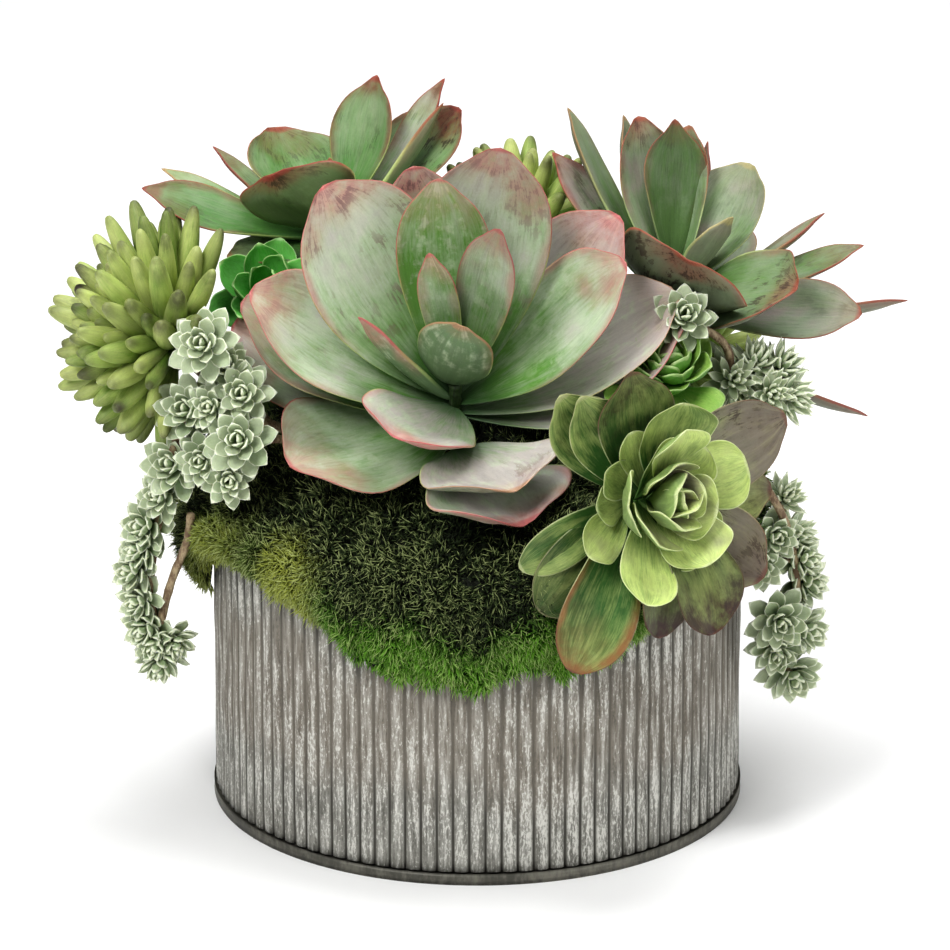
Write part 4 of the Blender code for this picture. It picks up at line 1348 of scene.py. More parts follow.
# Its ragged edge: height, number of waves round the pot and phase of each sine.
HEM_RAGS = ((0.0025, 9.0, 1.0), (0.0015, 17.0, 0.0), (0.0012, 41.0, 0.0), (0.0009, 67.0, 2.0))
FRONT_ARC = (176, 330)                  # azimuths of the mat's front, degrees
NEEDLE_FACES = np.array([(0, 2, 1), (0, 3, 2), (0, 1, 3), (1, 2, 4), (2, 3, 4), (3, 1, 4)])
NEEDLE_HEIGHTS = np.array([0.0, 0.5, 0.5, 0.5, 1.0])


def needles(foot: Array, middle: Array, tip: Array, first: Array, width: float,
            draw: np.random.Generator) -> Array:
    """Points of bent needles: a foot point, a small triangle at the middle and a tip point.

    A corner of the triangle is middle + width / 2 (n cos a + m sin a), with n and m at right
    angles to the first half.

    Args:
        foot: where the needles start, needles x 3.
        middle: where they bend.
        tip: where they end.
        first: direction of their first half.
        width: of the triangle.
        draw: random numbers, which turn each triangle.

    Returns:
        Needles x 5 x 3.
    """
    across = unit(np.cross(first, draw.normal(size=foot.shape)))
    other = np.cross(first, across)
    corner = full_turn(3)[:, None, None]
    triangle = middle + 0.5 * width * (np.cos(corner) * across + np.sin(corner) * other)
    return np.concatenate([foot[None], triangle, tip[None]]).transpose(1, 0, 2)


@dataclass
class Moss:
    """Moss mat over the mound, draped over the rim down to a ragged hem.

    Attributes:
        inner_radius: of its inner side, outside the rim's bead.
        seat: height at which it rests on the rim.
        edge_height: height of its shoulder over the rim.
        rise: of the dome above the shoulder.
        power: of the dome's fall.
        spread_radius: radius at which the dome reaches the shoulder.
        shoulder: share along the mat where it turns down.
        lump: height of its rolling lumps.
        soil_edge: height of the potting mound at its edge.
        soil_rise: of the mound's dome.
        soil_radius: of the mound.
        crown_gap: clearance over the mound.
        hem_level: height of the lower edge away from its lobes.
        around: points round the mat.
        rings: rings of each face.
    """

    inner_radius: float = 0.1036
    seat: float = 0.1194
    edge_height: float = 0.122
    rise: float = 0.032
    power: float = 2.6
    spread_radius: float = 0.106
    shoulder: float = 0.60
    lump: float = 0.0016
    soil_edge: float = 0.115
    soil_rise: float = 0.034
    soil_radius: float = 0.0995
    crown_gap: float = 0.0013
    hem_level: float = 0.1140
    around: int = 240
    rings: int = 40

    def hem(self, angle: Array) -> Array:
        """Height of the lower edge: a long tongue in front, an overhang left, a ragged back.

        Level - the sum of depth x bump(a) + the sum of height x sin(n a + phase).

        Args:
            angle: azimuths.

        Returns:
            Heights.
        """
        lobes = sum(depth * bump(angle, *lobe) for depth, *lobe in HEM_LOBES)
        rags = sum(high * np.sin(waves * angle + phase) for high, waves, phase in HEM_RAGS)
        return self.hem_level - lobes + rags

    def course(self, share: Array) -> tuple[Array, Array]:
        """Radius of the inner side, and how far down the skirt from 0 to 1.

        The radius is R min(s / shoulder, 1)^0.85.

        Args:
            share: share along the mat, 0 at the crown and 1 at the hem.

        Returns:
            Two arrays.
        """
        over = np.clip(share / self.shoulder, 0.0, 1.0)
        down = np.clip((share - self.shoulder) / (1.0 - self.shoulder), 0.0, 1.0)
        return self.inner_radius * over ** 0.85, down

    def outside(self, angle: Array, share: Array) -> Array:
        """Points of the outer face: a dome of height e + r (1 - (d / R)^2.6), then a hanging skirt.

        The skirt bulges by thickness x sin(pi x share down), and lumps, which are products of
        sines of x, y and z, lift the dome and swell the skirt.

        Args:
            angle: azimuths.
            share: share along the mat, 0 at the crown and 1 at the hem.

        Returns:
            Points, with the last axis x, y, z.
        """
        turn_down = self.shoulder
        radius, down = self.course(share)
        thick = 0.0045 + 0.0035 * bump(angle, 187, 18) + 0.0015 * bump(angle, 270, 40)
        skirt = smooth(share, turn_down - 0.02, turn_down + 0.02)
        reach = radius + thick * np.sin(math.pi * np.minimum(down * 0.86 + 0.12, 1.0)) * skirt
        far = np.clip(radius / self.spread_radius, 0.0, 1.0)
        dome = self.edge_height + self.rise * (1.0 - far ** self.power)
        fall = self.edge_height + (self.hem(angle) - self.edge_height) * down
        level = np.where(share < turn_down, dome, fall)
        x, y = reach * np.cos(angle), reach * np.sin(angle)
        broad = np.sin(x * 190 + 1.0) * np.sin(y * 170 + 2.0)
        fine = np.sin(x * 330 + level * 210) * np.sin(y * 350 + 0.5)
        small = np.sin(x * 720 + 3.0) * np.sin(y * 690 + level * 500)
        lift = self.lump * (broad + 0.8 * fine + 0.5 * small) * (1.0 - smooth(share, 0.88, 1.0))
        swell = np.abs(lift) * 0.8 * smooth(share, turn_down - 0.03, turn_down + 0.03)
        grow = 1.0 + swell / np.maximum(reach, 0.01)
        top = 1.0 - smooth(share, turn_down - 0.05, turn_down + 0.02)
        return stacked(x * grow, y * grow, level + lift * top)

    def inside(self, angle: Array, share: Array) -> Array:
        """Points of the inner face, which lies on the mound and hangs outside the rim.

        Args:
            angle: azimuths.
            share: share along the mat.

        Returns:
            Points, with the last axis x, y, z.
        """
        reach, down = self.course(share)
        far = np.clip(reach / self.soil_radius, 0.0, 1.0)
        soil = self.soil_edge + self.soil_rise * (1.0 - far ** self.power) + self.crown_gap
        lip = np.clip((reach - 0.090) / 0.006, 0.0, 1.0)
        floor = soil * (1.0 - lip) + np.maximum(self.seat, soil) * lip
        level = np.where(share < self.shoulder, np.maximum(floor, soil),
                         self.seat + (self.hem(angle) - self.seat) * down)
        return round_axis(reach, angle, level)

    def tints(self, points: Array, luck: Array) -> tuple[Array, Array]:
        """How lush and how yellow the moss is at each point.

        Args:
            points: points of the mat.
            luck: a random number for each.

        Returns:
            Two arrays from 0 to 1.
        """
        x, y, z = np.moveaxis(points, -1, 0)
        angle = np.arctan2(y, x)
        above = z - self.hem(angle)
        skirt = smooth(np.hypot(x, y), 0.094, 0.104)
        front = bump(angle, 273, 37, 6)
        reach = 0.002 + 0.010 * front + 0.003 * np.sin(angle * 13.0)
        fading = 1.0 - smooth(above, reach, reach + 0.010 + 0.010 * luck)
        lush = skirt * (0.25 + 0.75 * front) * fading
        clump = bump(angle, 230, 7, 4) * (1.0 - smooth(above, 0.014, 0.026))
        left = 0.75 * bump(angle, 196, 22, 4) * (1.0 - smooth(above, 0.002, 0.016))
        yellow = skirt * np.maximum(clump, left)
        return lush * (1.0 - 0.7 * yellow), np.clip(yellow, 0.0, 1.0)

    def body(self, material: Material) -> Piece:
        """Closed mat: from the middle of its inner face out, down to the hem, and back up.

        Args:
            material: its finish.

        Returns:
            The mat.
        """
        angle = full_turn(self.around)
        share = np.linspace(0.02, 1.0, self.rings)[:, None]
        rings = np.concatenate([self.inside(angle, share), self.outside(angle, share)[-2::-1]])
        middle = np.zeros(1)
        points = np.concatenate([self.inside(middle, middle), rings.reshape(-1, 3),
                                 self.outside(middle, middle)])
        lush, yellow = self.tints(points, 0.5)
        # A tip mark of 0.12 keeps the mat in the moss's painted shade.
        surface = Surface().add(points, TubeGrid(len(rings), self.around).faces(), NEUTRAL,
                                stacked(lush * 0.6, yellow * 0.6, 0.12, 0.5))
        return surface.build("moss_mat_body", material, Slot.MOSS, "moss_mat")

    def strands(self, zone: StrandZone, material: Material) -> Piece:
        """Tufts of bent needles.

        The middle is foot + a L / 2, and the tip middle + b L / 2, where a leans out from the
        tuft's middle and to the tuft's own side, and b hangs further down.

        Args:
            zone: where they grow.
            material: their finish.

        Returns:
            The strands.
        """
        draw = np.random.default_rng(zone.seed)
        each_tuft, each_strand = (zone.tufts, 1), (zone.tufts, zone.each)
        anywhere = draw.uniform(-np.pi, np.pi, each_tuft)
        ahead = np.radians(draw.uniform(*FRONT_ARC, each_tuft))
        angle = np.where(draw.random(each_tuft) < zone.front, ahead, anywhere)
        spread = draw.random(each_tuft)
        if zone.end <= self.shoulder:
            spread = spread ** 0.5
        share = zone.start + (zone.end - zone.start) * spread
        step = 0.004
        along = (self.outside(angle, np.minimum(share + step, 1.0))
                 - self.outside(angle, share - step))
        aside = self.outside(angle + 0.01, share) - self.outside(angle - 0.01, share)
        normal = unit(np.cross(along, aside))
        turn = draw.uniform(0.0, 2.0 * np.pi, (*each_strand, 1))
        out = np.sqrt(draw.random((*each_strand, 1)))
        radial = np.cos(turn) * unit(along) + np.sin(turn) * unit(aside)
        foot = self.outside(angle, share) + zone.reach * out * radial - 0.0004 * normal
        tuft_luck = draw.random(each_tuft)
        luck = np.clip(tuft_luck + draw.normal(0.0, 0.22, each_strand), 0.0, 1.0)
        shortest, longest = zone.length
        length = shortest + (longest - shortest) * draw.random(each_strand)
        half = (0.5 * length * (0.75 + 0.5 * tuft_luck))[..., None]
        down = zone.droop * np.array(DOWN)
        stray = (draw.normal(0.0, 0.22, (*each_strand, 3))
                 + draw.normal(0.0, 0.40, (*each_tuft, 3)))
        first = unit(normal + zone.fan * out * radial + 0.3 * down + stray)
        second = unit(first + 0.35 * zone.fan * out * radial + 0.9 * down
                      + draw.normal(0.0, 0.38, (*each_strand, 3)))
        middle = foot + half * first
        route = (part.reshape(-1, 3) for part in (foot, middle, middle + half * second, first))
        points = needles(*route, zone.width, draw)
        lush, yellow = self.tints(foot.reshape(-1, 3), luck.ravel())
        paint = stacked(lush[:, None], yellow[:, None], NEEDLE_HEIGHTS, luck.reshape(-1, 1))
        surface = Surface().add(points, NEEDLE_FACES, NEUTRAL, paint)
        return surface.build("moss_" + zone.name, material, Slot.MOSS)


# ---- Plants ----


STEM_BOTTOM = 0.110                     # height at which the shown stems start, in the moss
STEM_CLEAR = 0.140                      # height at which they leave it
FINGER_STEM_CLEAR = 0.145
NECK_CLEAR = 0.155                      # a neck lower than this is left out of the route


@dataclass
class Rosette:
    """A rosette on its stem.

    Attributes:
        node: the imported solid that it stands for.
        finish: its leaf finish.
        foot: where its stem stands, in plan.
        growth: foot of the column that its leaves sit on.
        axis: the way it faces.
        column: length of that column.
        leaves: leaf table, form and how far from the growth point its leaves start.
        heart: radius of its heart.
        grid: grid of one leaf.
        stem_radius: of its stem.
        neck: length of the stem's straight end below the growth point.
    """

    node: str
    finish: LeafFinish
    foot: tuple[float, float]
    growth: Point
    axis: Point
    column: float
    leaves: tuple[tuple[Array, LeafForm, Point], ...]
    heart: float = 0.006
    grid: TubeGrid = BIG_GRID
    stem_radius: float = 0.0034
    neck: float = 0.012

    def build(self, skins: dict[str, Material], bark: Material) -> list[Piece]:
        """Build leaves and stem. A leaf starts on the column at column x (1 - lean / 90).

        Args:
            skins: leaf materials by name.
            bark: the stems' material.

        Returns:
            Both pieces.
        """
        surface, stem = Surface(), Surface()
        up = axis_frame(self.axis)[0]
        growth = np.array(self.growth)
        for rows, form, shift in self.leaves:
            roots = growth + shift + up * self.column * (1.0 - rows[:, LEAN, None] / 90.0)
            add_leaves(surface, self.grid, roots, self.axis, rows, form)
        # Heart and core wear painted shade, dark where they show between the leaves.
        add_ball(surface, growth, self.heart, SHADED_CORE)
        core = [growth - up * 0.004, growth + up * self.column * 0.5,
                growth + up * self.column * 0.92]
        add_stem(surface, core, 0.0024, paint=SHADED_CORE)
        neck = growth - up * self.neck
        route = [(*self.foot, STEM_BOTTOM), (*self.foot, STEM_CLEAR)]
        route += [neck, growth] if neck[2] > NECK_CLEAR else [growth]
        add_stem(stem, route, self.stem_radius)
        slot = self.finish.slot
        return [surface.build(self.node + "_leaves", skins[self.finish.name], slot, self.node),
                stem.build(self.node + "_stem", bark, slot)]


@dataclass
class FingerHead:
    """A head of plump fingers on its stem.

    Attributes:
        node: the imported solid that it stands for.
        foot: where its stem stands, in plan.
        head: its middle.
        axis: the way it faces.
        fingers: number of fingers, before those in the clear direction are left out.
        length: of the outermost finger, from the middle.
        width: of a finger.
        spread: lean of the outermost finger, degrees.
        seed: seed of the differences.
        clear: unit direction that is kept free, or zero for none.
        inset: distance from the middle to a finger's base.
        lift: how far a finger's tip bends up, as a share of its length.
        heart: radius of its heart.
    """

    node: str
    foot: tuple[float, float]
    head: Point
    axis: Point
    fingers: int
    length: float
    width: float
    spread: float
    seed: int
    clear: Point = NO_SHIFT
    inset: float = 0.007
    lift: float = 0.10
    heart: float = 0.012

    def table(self) -> Array:
        """Finger table by the golden angle, with no finger near the clear direction.

        Returns:
            Leaf table; each finger's length runs from the middle.
        """
        draw = random.Random(self.seed)
        spiral = spiral_rows(self.fingers, self.length, 4, self.spread, 1.0, self.seed, 0.80)
        rows = [(turn, lean, reach * draw.uniform(0.86, 1.06),
                 self.width * draw.uniform(0.85, 1.12), 0.0) for turn, lean, reach, _, _ in spiral]
        table = painted(rows, (0.80, 0.42, 0.1, 0.5), self.seed, 0.34)
        heading = leaf_frames(self.axis, table)[0]
        return table[heading @ np.array(self.clear) < math.cos(math.radians(CLEAR_ANGLE))]

    def build(self, skins: dict[str, Material], bark: Material) -> list[Piece]:
        """Build fingers and stem.

        A finger is a round bar of width w share(s) that bends up by lift L s^2.

        Args:
            skins: leaf materials by name.
            bark: the stems' material.

        Returns:
            Both pieces.
        """
        surface, stem = Surface(), Surface()
        head, rows = np.array(self.head), self.table()
        add_ball(surface, head, self.heart, (0.0, 0.9, 0.0, 0.2))
        along, cosine, sine = FINGER_GRID.parameters()
        length = rows[:, LENGTH, None] - self.inset
        half = 0.5 * rows[:, WIDTH, None] * FINGER.width_share(along)
        rise = 0.90 * half * sine - 0.05 * half * np.abs(cosine)
        points = placed(head[None], leaf_frames(self.axis, rows), self.inset + length * along,
                        half * cosine, rise)
        points = points + (self.lift * length * along ** 2)[..., None] * np.array(UP)
        shape = stacked(NO_EDGE, along, 0.75 + 0.25 * sine, 0.5 + 0.5 * cosine)
        surface.add(points, FINGER_GRID.faces(), shape, rows[:, PAINT])
        add_stem(stem, [(*self.foot, STEM_BOTTOM), (*self.foot, FINGER_STEM_CLEAR), self.head],
                 0.0040)
        skin = skins[FINGER_FINISH.name]
        return [surface.build(self.node + "_fingers", skin, Slot.FINGER, self.node),
                stem.build(self.node + "_stem", bark, Slot.FINGER)]


@dataclass
class Trailing:
    """A trailing sedum: thin stems with a small rosette at each given place.

    Attributes:
        node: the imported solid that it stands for.
        stems: routes of its stems.
        rosettes: centre, axis, radius and form of each small rosette.
        seed: seed of the small differences.
        outer_lean: lean of a rosette's outermost leaves, degrees.
    """

    node: str
    stems: tuple[tuple[Point, ...], ...]
    rosettes: tuple[tuple[Point, Point, float, LeafForm], ...]
    seed: int
    outer_lean: float = 98.0

    def build(self, skins: dict[str, Material], bark: Material) -> list[Piece]:
        """Build rosettes and stems, with a short stalk from each rosette to the nearest stem.

        Args:
            skins: leaf materials by name.
            bark: the stems' material.

        Returns:
            Both pieces.
        """
        surface, stem = Surface(), Surface()
        for route in self.stems:
            add_stem(stem, route, 0.0016)
        spots = np.concatenate([smooth_route(np.array(route), 6) for route in self.stems])
        for seed, (centre, axis, radius, form) in enumerate(self.rosettes, self.seed):
            count, slim = (26, 0.56) if form is SMALL else (30, 0.34)
            rows = painted(spiral_rows(count, radius * 1.04, 6, self.outer_lean, slim, seed, 0.42),
                           (0.1, 0.35, 0.1, 0.5), seed)
            up = axis_frame(axis)[0]
            middle = np.array(centre) - up * radius * 0.30
            roots = middle + up * radius * 0.5 * (1.0 - rows[:, LEAN, None] / self.outer_lean)
            add_leaves(surface, SMALL_GRID, roots, axis, rows, form)
            add_ball(surface, middle + up * radius * 0.1, radius * 0.16, (0.0, 0.9, 0.0, 0.1))
            near = spots[np.argmin(np.linalg.norm(spots - middle, axis=1))]
            add_stem(stem, [near, 0.5 * (near + middle) + 1e-4, middle], 0.0011, 3)
        skin = skins[SAGE_FINISH.name]
        return [surface.build(self.node + "_rosettes", skin, Slot.SAGE, self.node),
                stem.build(self.node + "_stems", bark, Slot.SAGE)]


CENTRE_LEAVES = np.array((
    (131, 13, 0.060, 0.015, 40, 0.50, 0.75, 0.1, 0.45),
    (34, 15, 0.074, 0.024, -22, 0.80, 0.45, 0.3, 0.12),
    (99, 27, 0.082, 0.036, 10, 0.45, 0.85, 0.2, 0.38),
    (175, 40, 0.052, 0.013, -57, 0.70, 0.85, 0.1, 0.50),
    (73, 37, 0.093, 0.050, -15, 0.80, 0.34, 0.5, 0.24),
    (141, 40, 0.094, 0.056, 15, 0.90, 0.36, 0.8, 0.58),
    (19, 51, 0.083, 0.046, 0, 0.85, 0.45, 0.1, 0.50),
    (172, 56, 0.089, 0.046, 8, 0.75, 0.32, 0.3, 0.60),
    (104, 46, 0.086, 0.042, 0, 0.90, 0.30, 0.9, 0.35),
    (39, 57, 0.091, 0.050, 8, 0.95, 0.12, 0.4, 0.62),
    (246, 54, 0.064, 0.045, 9, 0.90, 0.10, 0.1, 0.75),
    (165, 66, 0.087, 0.047, 3, 0.75, 0.60, 0.2, 0.30),
    (19, 69, 0.091, 0.048, 0, 0.30, 0.00, 0.3, 0.90),
    (162, 77, 0.087, 0.050, 8, 0.80, 0.30, 0.2, 0.50),
    (214, 76, 0.072, 0.060, -6, 0.70, 0.40, 0.1, 0.55),
    (58, 72, 0.080, 0.048, 0, 0.30, 0.40, 0.2, 0.45),
    (94, 68, 0.080, 0.048, 0, 0.30, 0.40, 0.2, 0.45),
    (130, 72, 0.080, 0.048, 0, 0.30, 0.40, 0.2, 0.45),
))
CENTRE_HEART_LEAF = np.array(((291, 18, 0.046, 0.030, 42, 0.30, 1.00, 0.1, 0.30),))
CENTRE_HANGING_LEAVES = np.array(((14, 72, 0.090, 0.048, 10, 0.60, 0.00, 0.3, 0.70),))
CENTRE_FRONT_LEAF = np.array(((306, 73, 0.036, 0.060, 13, 0.30, 0.00, 0.6, 0.50),))
CENTRE_LOWEST_LEAF = np.array(((308, 88, 0.037, 0.068, 22, 1.00, 0.15, 0.2, 0.45),))

BACK_LEFT_ROUND = np.array((
    (119, 54, 0.049, 0.050, -21, 0.55, 0.65, 0.5, 0.50),
    (225, 38, 0.040, 0.048, -35, 0.75, 0.60, 0.9, 0.50),
    (34, 62, 0.066, 0.042, 0, 0.95, 0.50, 1.0, 0.22),
    (198, 85, 0.040, 0.034, -2, 0.30, 0.40, 0.5, 0.20),
    (62, 76, 0.056, 0.036, 0, 0.50, 0.60, 0.4, 0.45),
    (100, 78, 0.056, 0.038, 0, 0.50, 0.60, 0.4, 0.45),
))
BACK_LEFT_POINTED = np.array((
    (80, 16, 0.022, 0.016, 0, 0.40, 0.70, 0.2, 0.50),
    (260, 16, 0.022, 0.016, 0, 0.40, 0.70, 0.2, 0.50),
    (55, 38, 0.058, 0.030, 4, 0.95, 0.55, 0.5, 0.45),
    (25, 52, 0.061, 0.012, 50, 0.40, 0.20, 0.2, 0.65),
    (33, 51, 0.069, 0.016, 0, 0.80, 0.20, 0.4, 0.60),
    (142, 64, 0.060, 0.010, -10, 0.60, 0.30, 0.3, 0.40),
    (158, 70, 0.071, 0.012, 6, 0.30, 0.30, 0.2, 0.75),
    (176, 69, 0.073, 0.024, 15, 0.90, 0.80, 0.4, 0.40),
))
BACK_RIGHT_ROUND = np.array((
    (132, 34, 0.064, 0.030, 10, 0.80, 0.38, 0.8, 0.55),
    (96, 38, 0.063, 0.020, 37, 0.40, 0.50, 0.4, 0.45),
    (59, 43, 0.057, 0.036, 7, 0.20, 0.25, 0.2, 0.50),
    (349, 25, 0.033, 0.022, 27, 0.20, 0.10, 0.2, 0.80),
    (322, 65, 0.055, 0.046, -32, 0.70, 0.60, 0.9, 0.45),
    (347, 78, 0.070, 0.028, -38, 0.50, 0.30, 0.4, 0.28),
    (70, 74, 0.060, 0.036, 0, 0.40, 0.40, 0.4, 0.45),
    (110, 74, 0.058, 0.036, 0, 0.40, 0.40, 0.4, 0.45),
))
BACK_RIGHT_NEAR = np.array(((266, 52, 0.062, 0.054, 16, 0.75, 0.60, 1.0, 0.55),))
BACK_RIGHT_POINTED = np.array((
    (145, 50, 0.079, 0.018, -11, 0.30, 0.50, 0.2, 0.55),
    (156, 57, 0.068, 0.020, 15, 0.95, 0.20, 0.8, 0.50),
    (129, 42, 0.068, 0.020, -20, 0.30, 0.40, 0.3, 0.60),
    (112, 28, 0.061, 0.030, -14, 0.60, 0.95, 0.5, 0.12),
    (84, 46, 0.063, 0.008, 36, 0.70, 0.20, 0.4, 0.40),
    (28, 60, 0.066, 0.010, 20, 0.60, 0.40, 0.4, 0.50),
    (15, 68, 0.074, 0.018, -5, 0.50, 0.60, 0.4, 0.45),
    (2, 79, 0.087, 0.017, 20, 0.60, 0.10, 0.5, 0.45),
    (21, 113, 0.100, 0.014, 17, 0.50, 0.00, 0.4, 0.50),
))
AEONIUM_OUTER = np.array((
    (136, 79, 0.050, 0.025, 32, 0.20, 0.85, 0.2, 0.40),
    (117, 70, 0.051, 0.031, 23, 0.55, 0.90, 0.6, 0.08),
    (137, 86, 0.051, 0.028, 36, 0.20, 0.80, 0.3, 0.40),
    (28, 72, 0.062, 0.034, -6, 0.45, 0.00, 1.0, 0.50),
    (324, 68, 0.052, 0.034, -32, 0.55, 0.00, 1.0, 0.60),
    (2, 79, 0.056, 0.028, 0, 0.60, 0.30, 0.4, 0.30),
))
AEONIUM_ARCHED = np.array((
    (247, 91, 0.069, 0.030, -20, 0.95, 1.00, 0.2, 0.20),
    (228, 96, 0.056, 0.028, -16, 0.25, 0.91, 0.2, -0.30),
    (209, 97, 0.053, 0.018, -8, 0.10, 0.85, 0.1, 0.10),
    (276, 82, 0.052, 0.031, 8, 1.00, 0.80, 0.5, 0.00),
    (288, 69, 0.056, 0.038, 10, 1.00, 0.62, 0.6, 0.00),
))
AEONIUM_INNER = np.array((
    (24, 53, 0.036, 0.028, -6, 0.00, 0.35, 0.1, 0.55),
    (98, 56, 0.041, 0.032, 14, 0.10, 0.60, 0.1, 0.40),
    (118, 44, 0.039, 0.024, 15, 0.00, 0.35, 0.1, 0.60),
    (279, 46, 0.034, 0.029, -25, 0.00, 0.30, 0.1, 0.65),
    (238, 61, 0.052, 0.023, -24, 0.00, 0.35, 0.1, 0.60),
    (216, 80, 0.037, 0.018, -18, 0.00, 0.35, 0.1, 0.60),
    (130, 66, 0.033, 0.014, 26, 0.00, 0.30, 0.1, 0.60),
    (160, 74, 0.026, 0.016, 10, 0.00, 0.40, 0.1, 0.55),
    (190, 80, 0.024, 0.016, 0, 0.00, 0.40, 0.1, 0.50),
))
AEONIUM_CUP = np.array((
    (320, 54, 0.036, 0.029, -10, 0.00, 0.35, 0.1, 0.60),
    (60, 44, 0.033, 0.027, 0, 0.00, 0.35, 0.1, 0.60),
    (185, 46, 0.031, 0.025, 0, 0.00, 0.30, 0.1, 0.65),
    (235, 40, 0.030, 0.026, 0, 0.00, 0.25, 0.1, 0.70),
    (345, 36, 0.029, 0.025, 0, 0.00, 0.25, 0.0, 0.72),
    (110, 30, 0.027, 0.024, 0, 0.00, 0.25, 0.0, 0.70),
    (262, 26, 0.025, 0.023, 0, 0.00, 0.20, 0.0, 0.78),
    (28, 22, 0.023, 0.021, 0, 0.00, 0.20, 0.0, 0.75),
    (160, 18, 0.022, 0.020, 0, 0.00, 0.20, 0.0, 0.72),
    (300, 12, 0.020, 0.018, 0, 0.00, 0.15, 0.0, 0.80),
    (70, 10, 0.018, 0.016, 0, 0.00, 0.20, 0.0, 0.72),
    (200, 8, 0.017, 0.015, 0, 0.00, 0.15, 0.0, 0.75),
))
BUD_COLLAR = np.array((
    (225, 84, 0.029, 0.022, 0, 0.10, 0.40, 0.1, 0.45),
    (270, 88, 0.030, 0.023, 0, 0.10, 0.45, 0.1, 0.50),
    (312, 86, 0.024, 0.020, 0, 0.10, 0.45, 0.1, 0.40),
    (150, 78, 0.026, 0.020, 0, 0.10, 0.40, 0.1, 0.50),
))

LEFT_SMALL = (
    ((-0.1015, -0.058, 0.1990), (-0.20, -0.88, 0.42), 0.0140, SMALL),
    ((-0.1079, -0.048, 0.1699), (-0.35, -0.85, 0.40), 0.0145, SMALL),
    ((-0.0873, -0.058, 0.1795), (-0.10, -0.90, 0.40), 0.0130, SMALL),
    ((-0.0883, -0.066, 0.1640), (-0.15, -0.90, 0.40), 0.0145, SMALL),
    ((-0.1139, -0.045, 0.1473), (-0.40, -0.85, 0.35), 0.0140, SMALL),
    ((-0.1250, -0.035, 0.1189), (-0.60, -0.75, 0.25), 0.0130, SMALL),
    ((-0.1298, -0.035, 0.1011), (-0.70, -0.70, 0.10), 0.0120, SMALL),
    ((-0.1257, -0.035, 0.0780), (-0.50, -0.85, -0.15), 0.0120, SMALL),
    ((-0.1210, -0.035, 0.0640), (-0.20, -0.70, -0.70), 0.0110, SMALL),
    ((-0.0935, -0.050, 0.1880), (-0.05, -0.85, 0.50), 0.0105, SMALL),
    ((-0.0995, -0.056, 0.1740), (-0.25, -0.90, 0.30), 0.0100, SMALL),
    ((-0.1030, -0.056, 0.1530), (-0.20, -0.90, 0.20), 0.0115, SMALL),
    ((-0.0925, -0.062, 0.1470), (0.00, -0.90, 0.20), 0.0105, SMALL),
    ((-0.1190, -0.040, 0.1330), (-0.50, -0.80, 0.30), 0.0110, SMALL),
    ((-0.1275, -0.036, 0.1100), (-0.70, -0.70, 0.10), 0.0105, SMALL),
    ((-0.1280, -0.036, 0.0890), (-0.60, -0.80, 0.00), 0.0110, SMALL),
    ((-0.1230, -0.036, 0.0720), (-0.20, -0.90, -0.30), 0.0105, SMALL),
    ((-0.1150, -0.036, 0.0720), (0.30, -0.80, -0.50), 0.0095, SMALL),
)
LEFT_ROUTES = (
    ((-0.1080, -0.042, 0.126), (-0.1100, -0.037, 0.113), (-0.1160, -0.036, 0.097),
     (-0.1205, -0.036, 0.080)),
    ((-0.066, -0.034, 0.110), (-0.066, -0.034, 0.150), (-0.088, -0.044, 0.166),
     (-0.1079, -0.048, 0.166), (-0.1160, -0.043, 0.145), (-0.1210, -0.035, 0.118),
     (-0.1240, -0.034, 0.095), (-0.1210, -0.034, 0.066)),
    ((-0.066, -0.034, 0.150), (-0.074, -0.050, 0.159), (-0.0883, -0.063, 0.164),
     (-0.0878, -0.056, 0.1775)),
    ((-0.088, -0.044, 0.166), (-0.094, -0.048, 0.181), (-0.1015, -0.056, 0.1965)),
)
RIGHT_SMALL = (
    ((0.0772, -0.031, 0.2008), (0.10, -0.80, 0.55), 0.0128, SMALL),
    ((0.0966, -0.016, 0.1711), (0.20, -0.80, 0.50), 0.0135, SPIKY),
    ((0.1054, -0.010, 0.1758), (0.20, -0.40, 0.90), 0.0125, SPIKY),
    ((0.1159, -0.006, 0.1730), (0.60, -0.40, 0.70), 0.0125, SPIKY),
    ((0.1191, -0.012, 0.1620), (0.70, -0.70, 0.00), 0.0125, SPIKY),
    ((0.1126, -0.030, 0.1130), (0.30, -0.90, 0.20), 0.0120, SMALL),
    ((0.1214, -0.020, 0.1090), (0.70, -0.60, 0.20), 0.0120, SPIKY),
    ((0.1255, -0.022, 0.0915), (0.80, -0.60, 0.00), 0.0120, SMALL),
    ((0.1145, -0.038, 0.0812), (0.20, -0.95, 0.10), 0.0130, SMALL),
    ((0.1250, -0.026, 0.0739), (0.70, -0.70, -0.10), 0.0120, SMALL),
    ((0.1200, -0.030, 0.0570), (0.30, -0.85, -0.30), 0.0130, SMALL),
    ((0.1075, -0.034, 0.1020), (0.00, -0.95, 0.10), 0.0100, SMALL),
    ((0.1240, -0.024, 0.1010), (0.80, -0.60, 0.10), 0.0105, SMALL),
    ((0.1140, -0.034, 0.0680), (0.00, -0.95, -0.20), 0.0110, SMALL),
    ((0.1110, -0.018, 0.1660), (0.30, -0.85, 0.30), 0.0115, SPIKY),
    ((0.1010, -0.012, 0.1650), (0.10, -0.90, 0.30), 0.0110, SPIKY),
    ((0.1170, -0.020, 0.1250), (0.40, -0.70, 0.60), 0.0105, SPIKY),
)
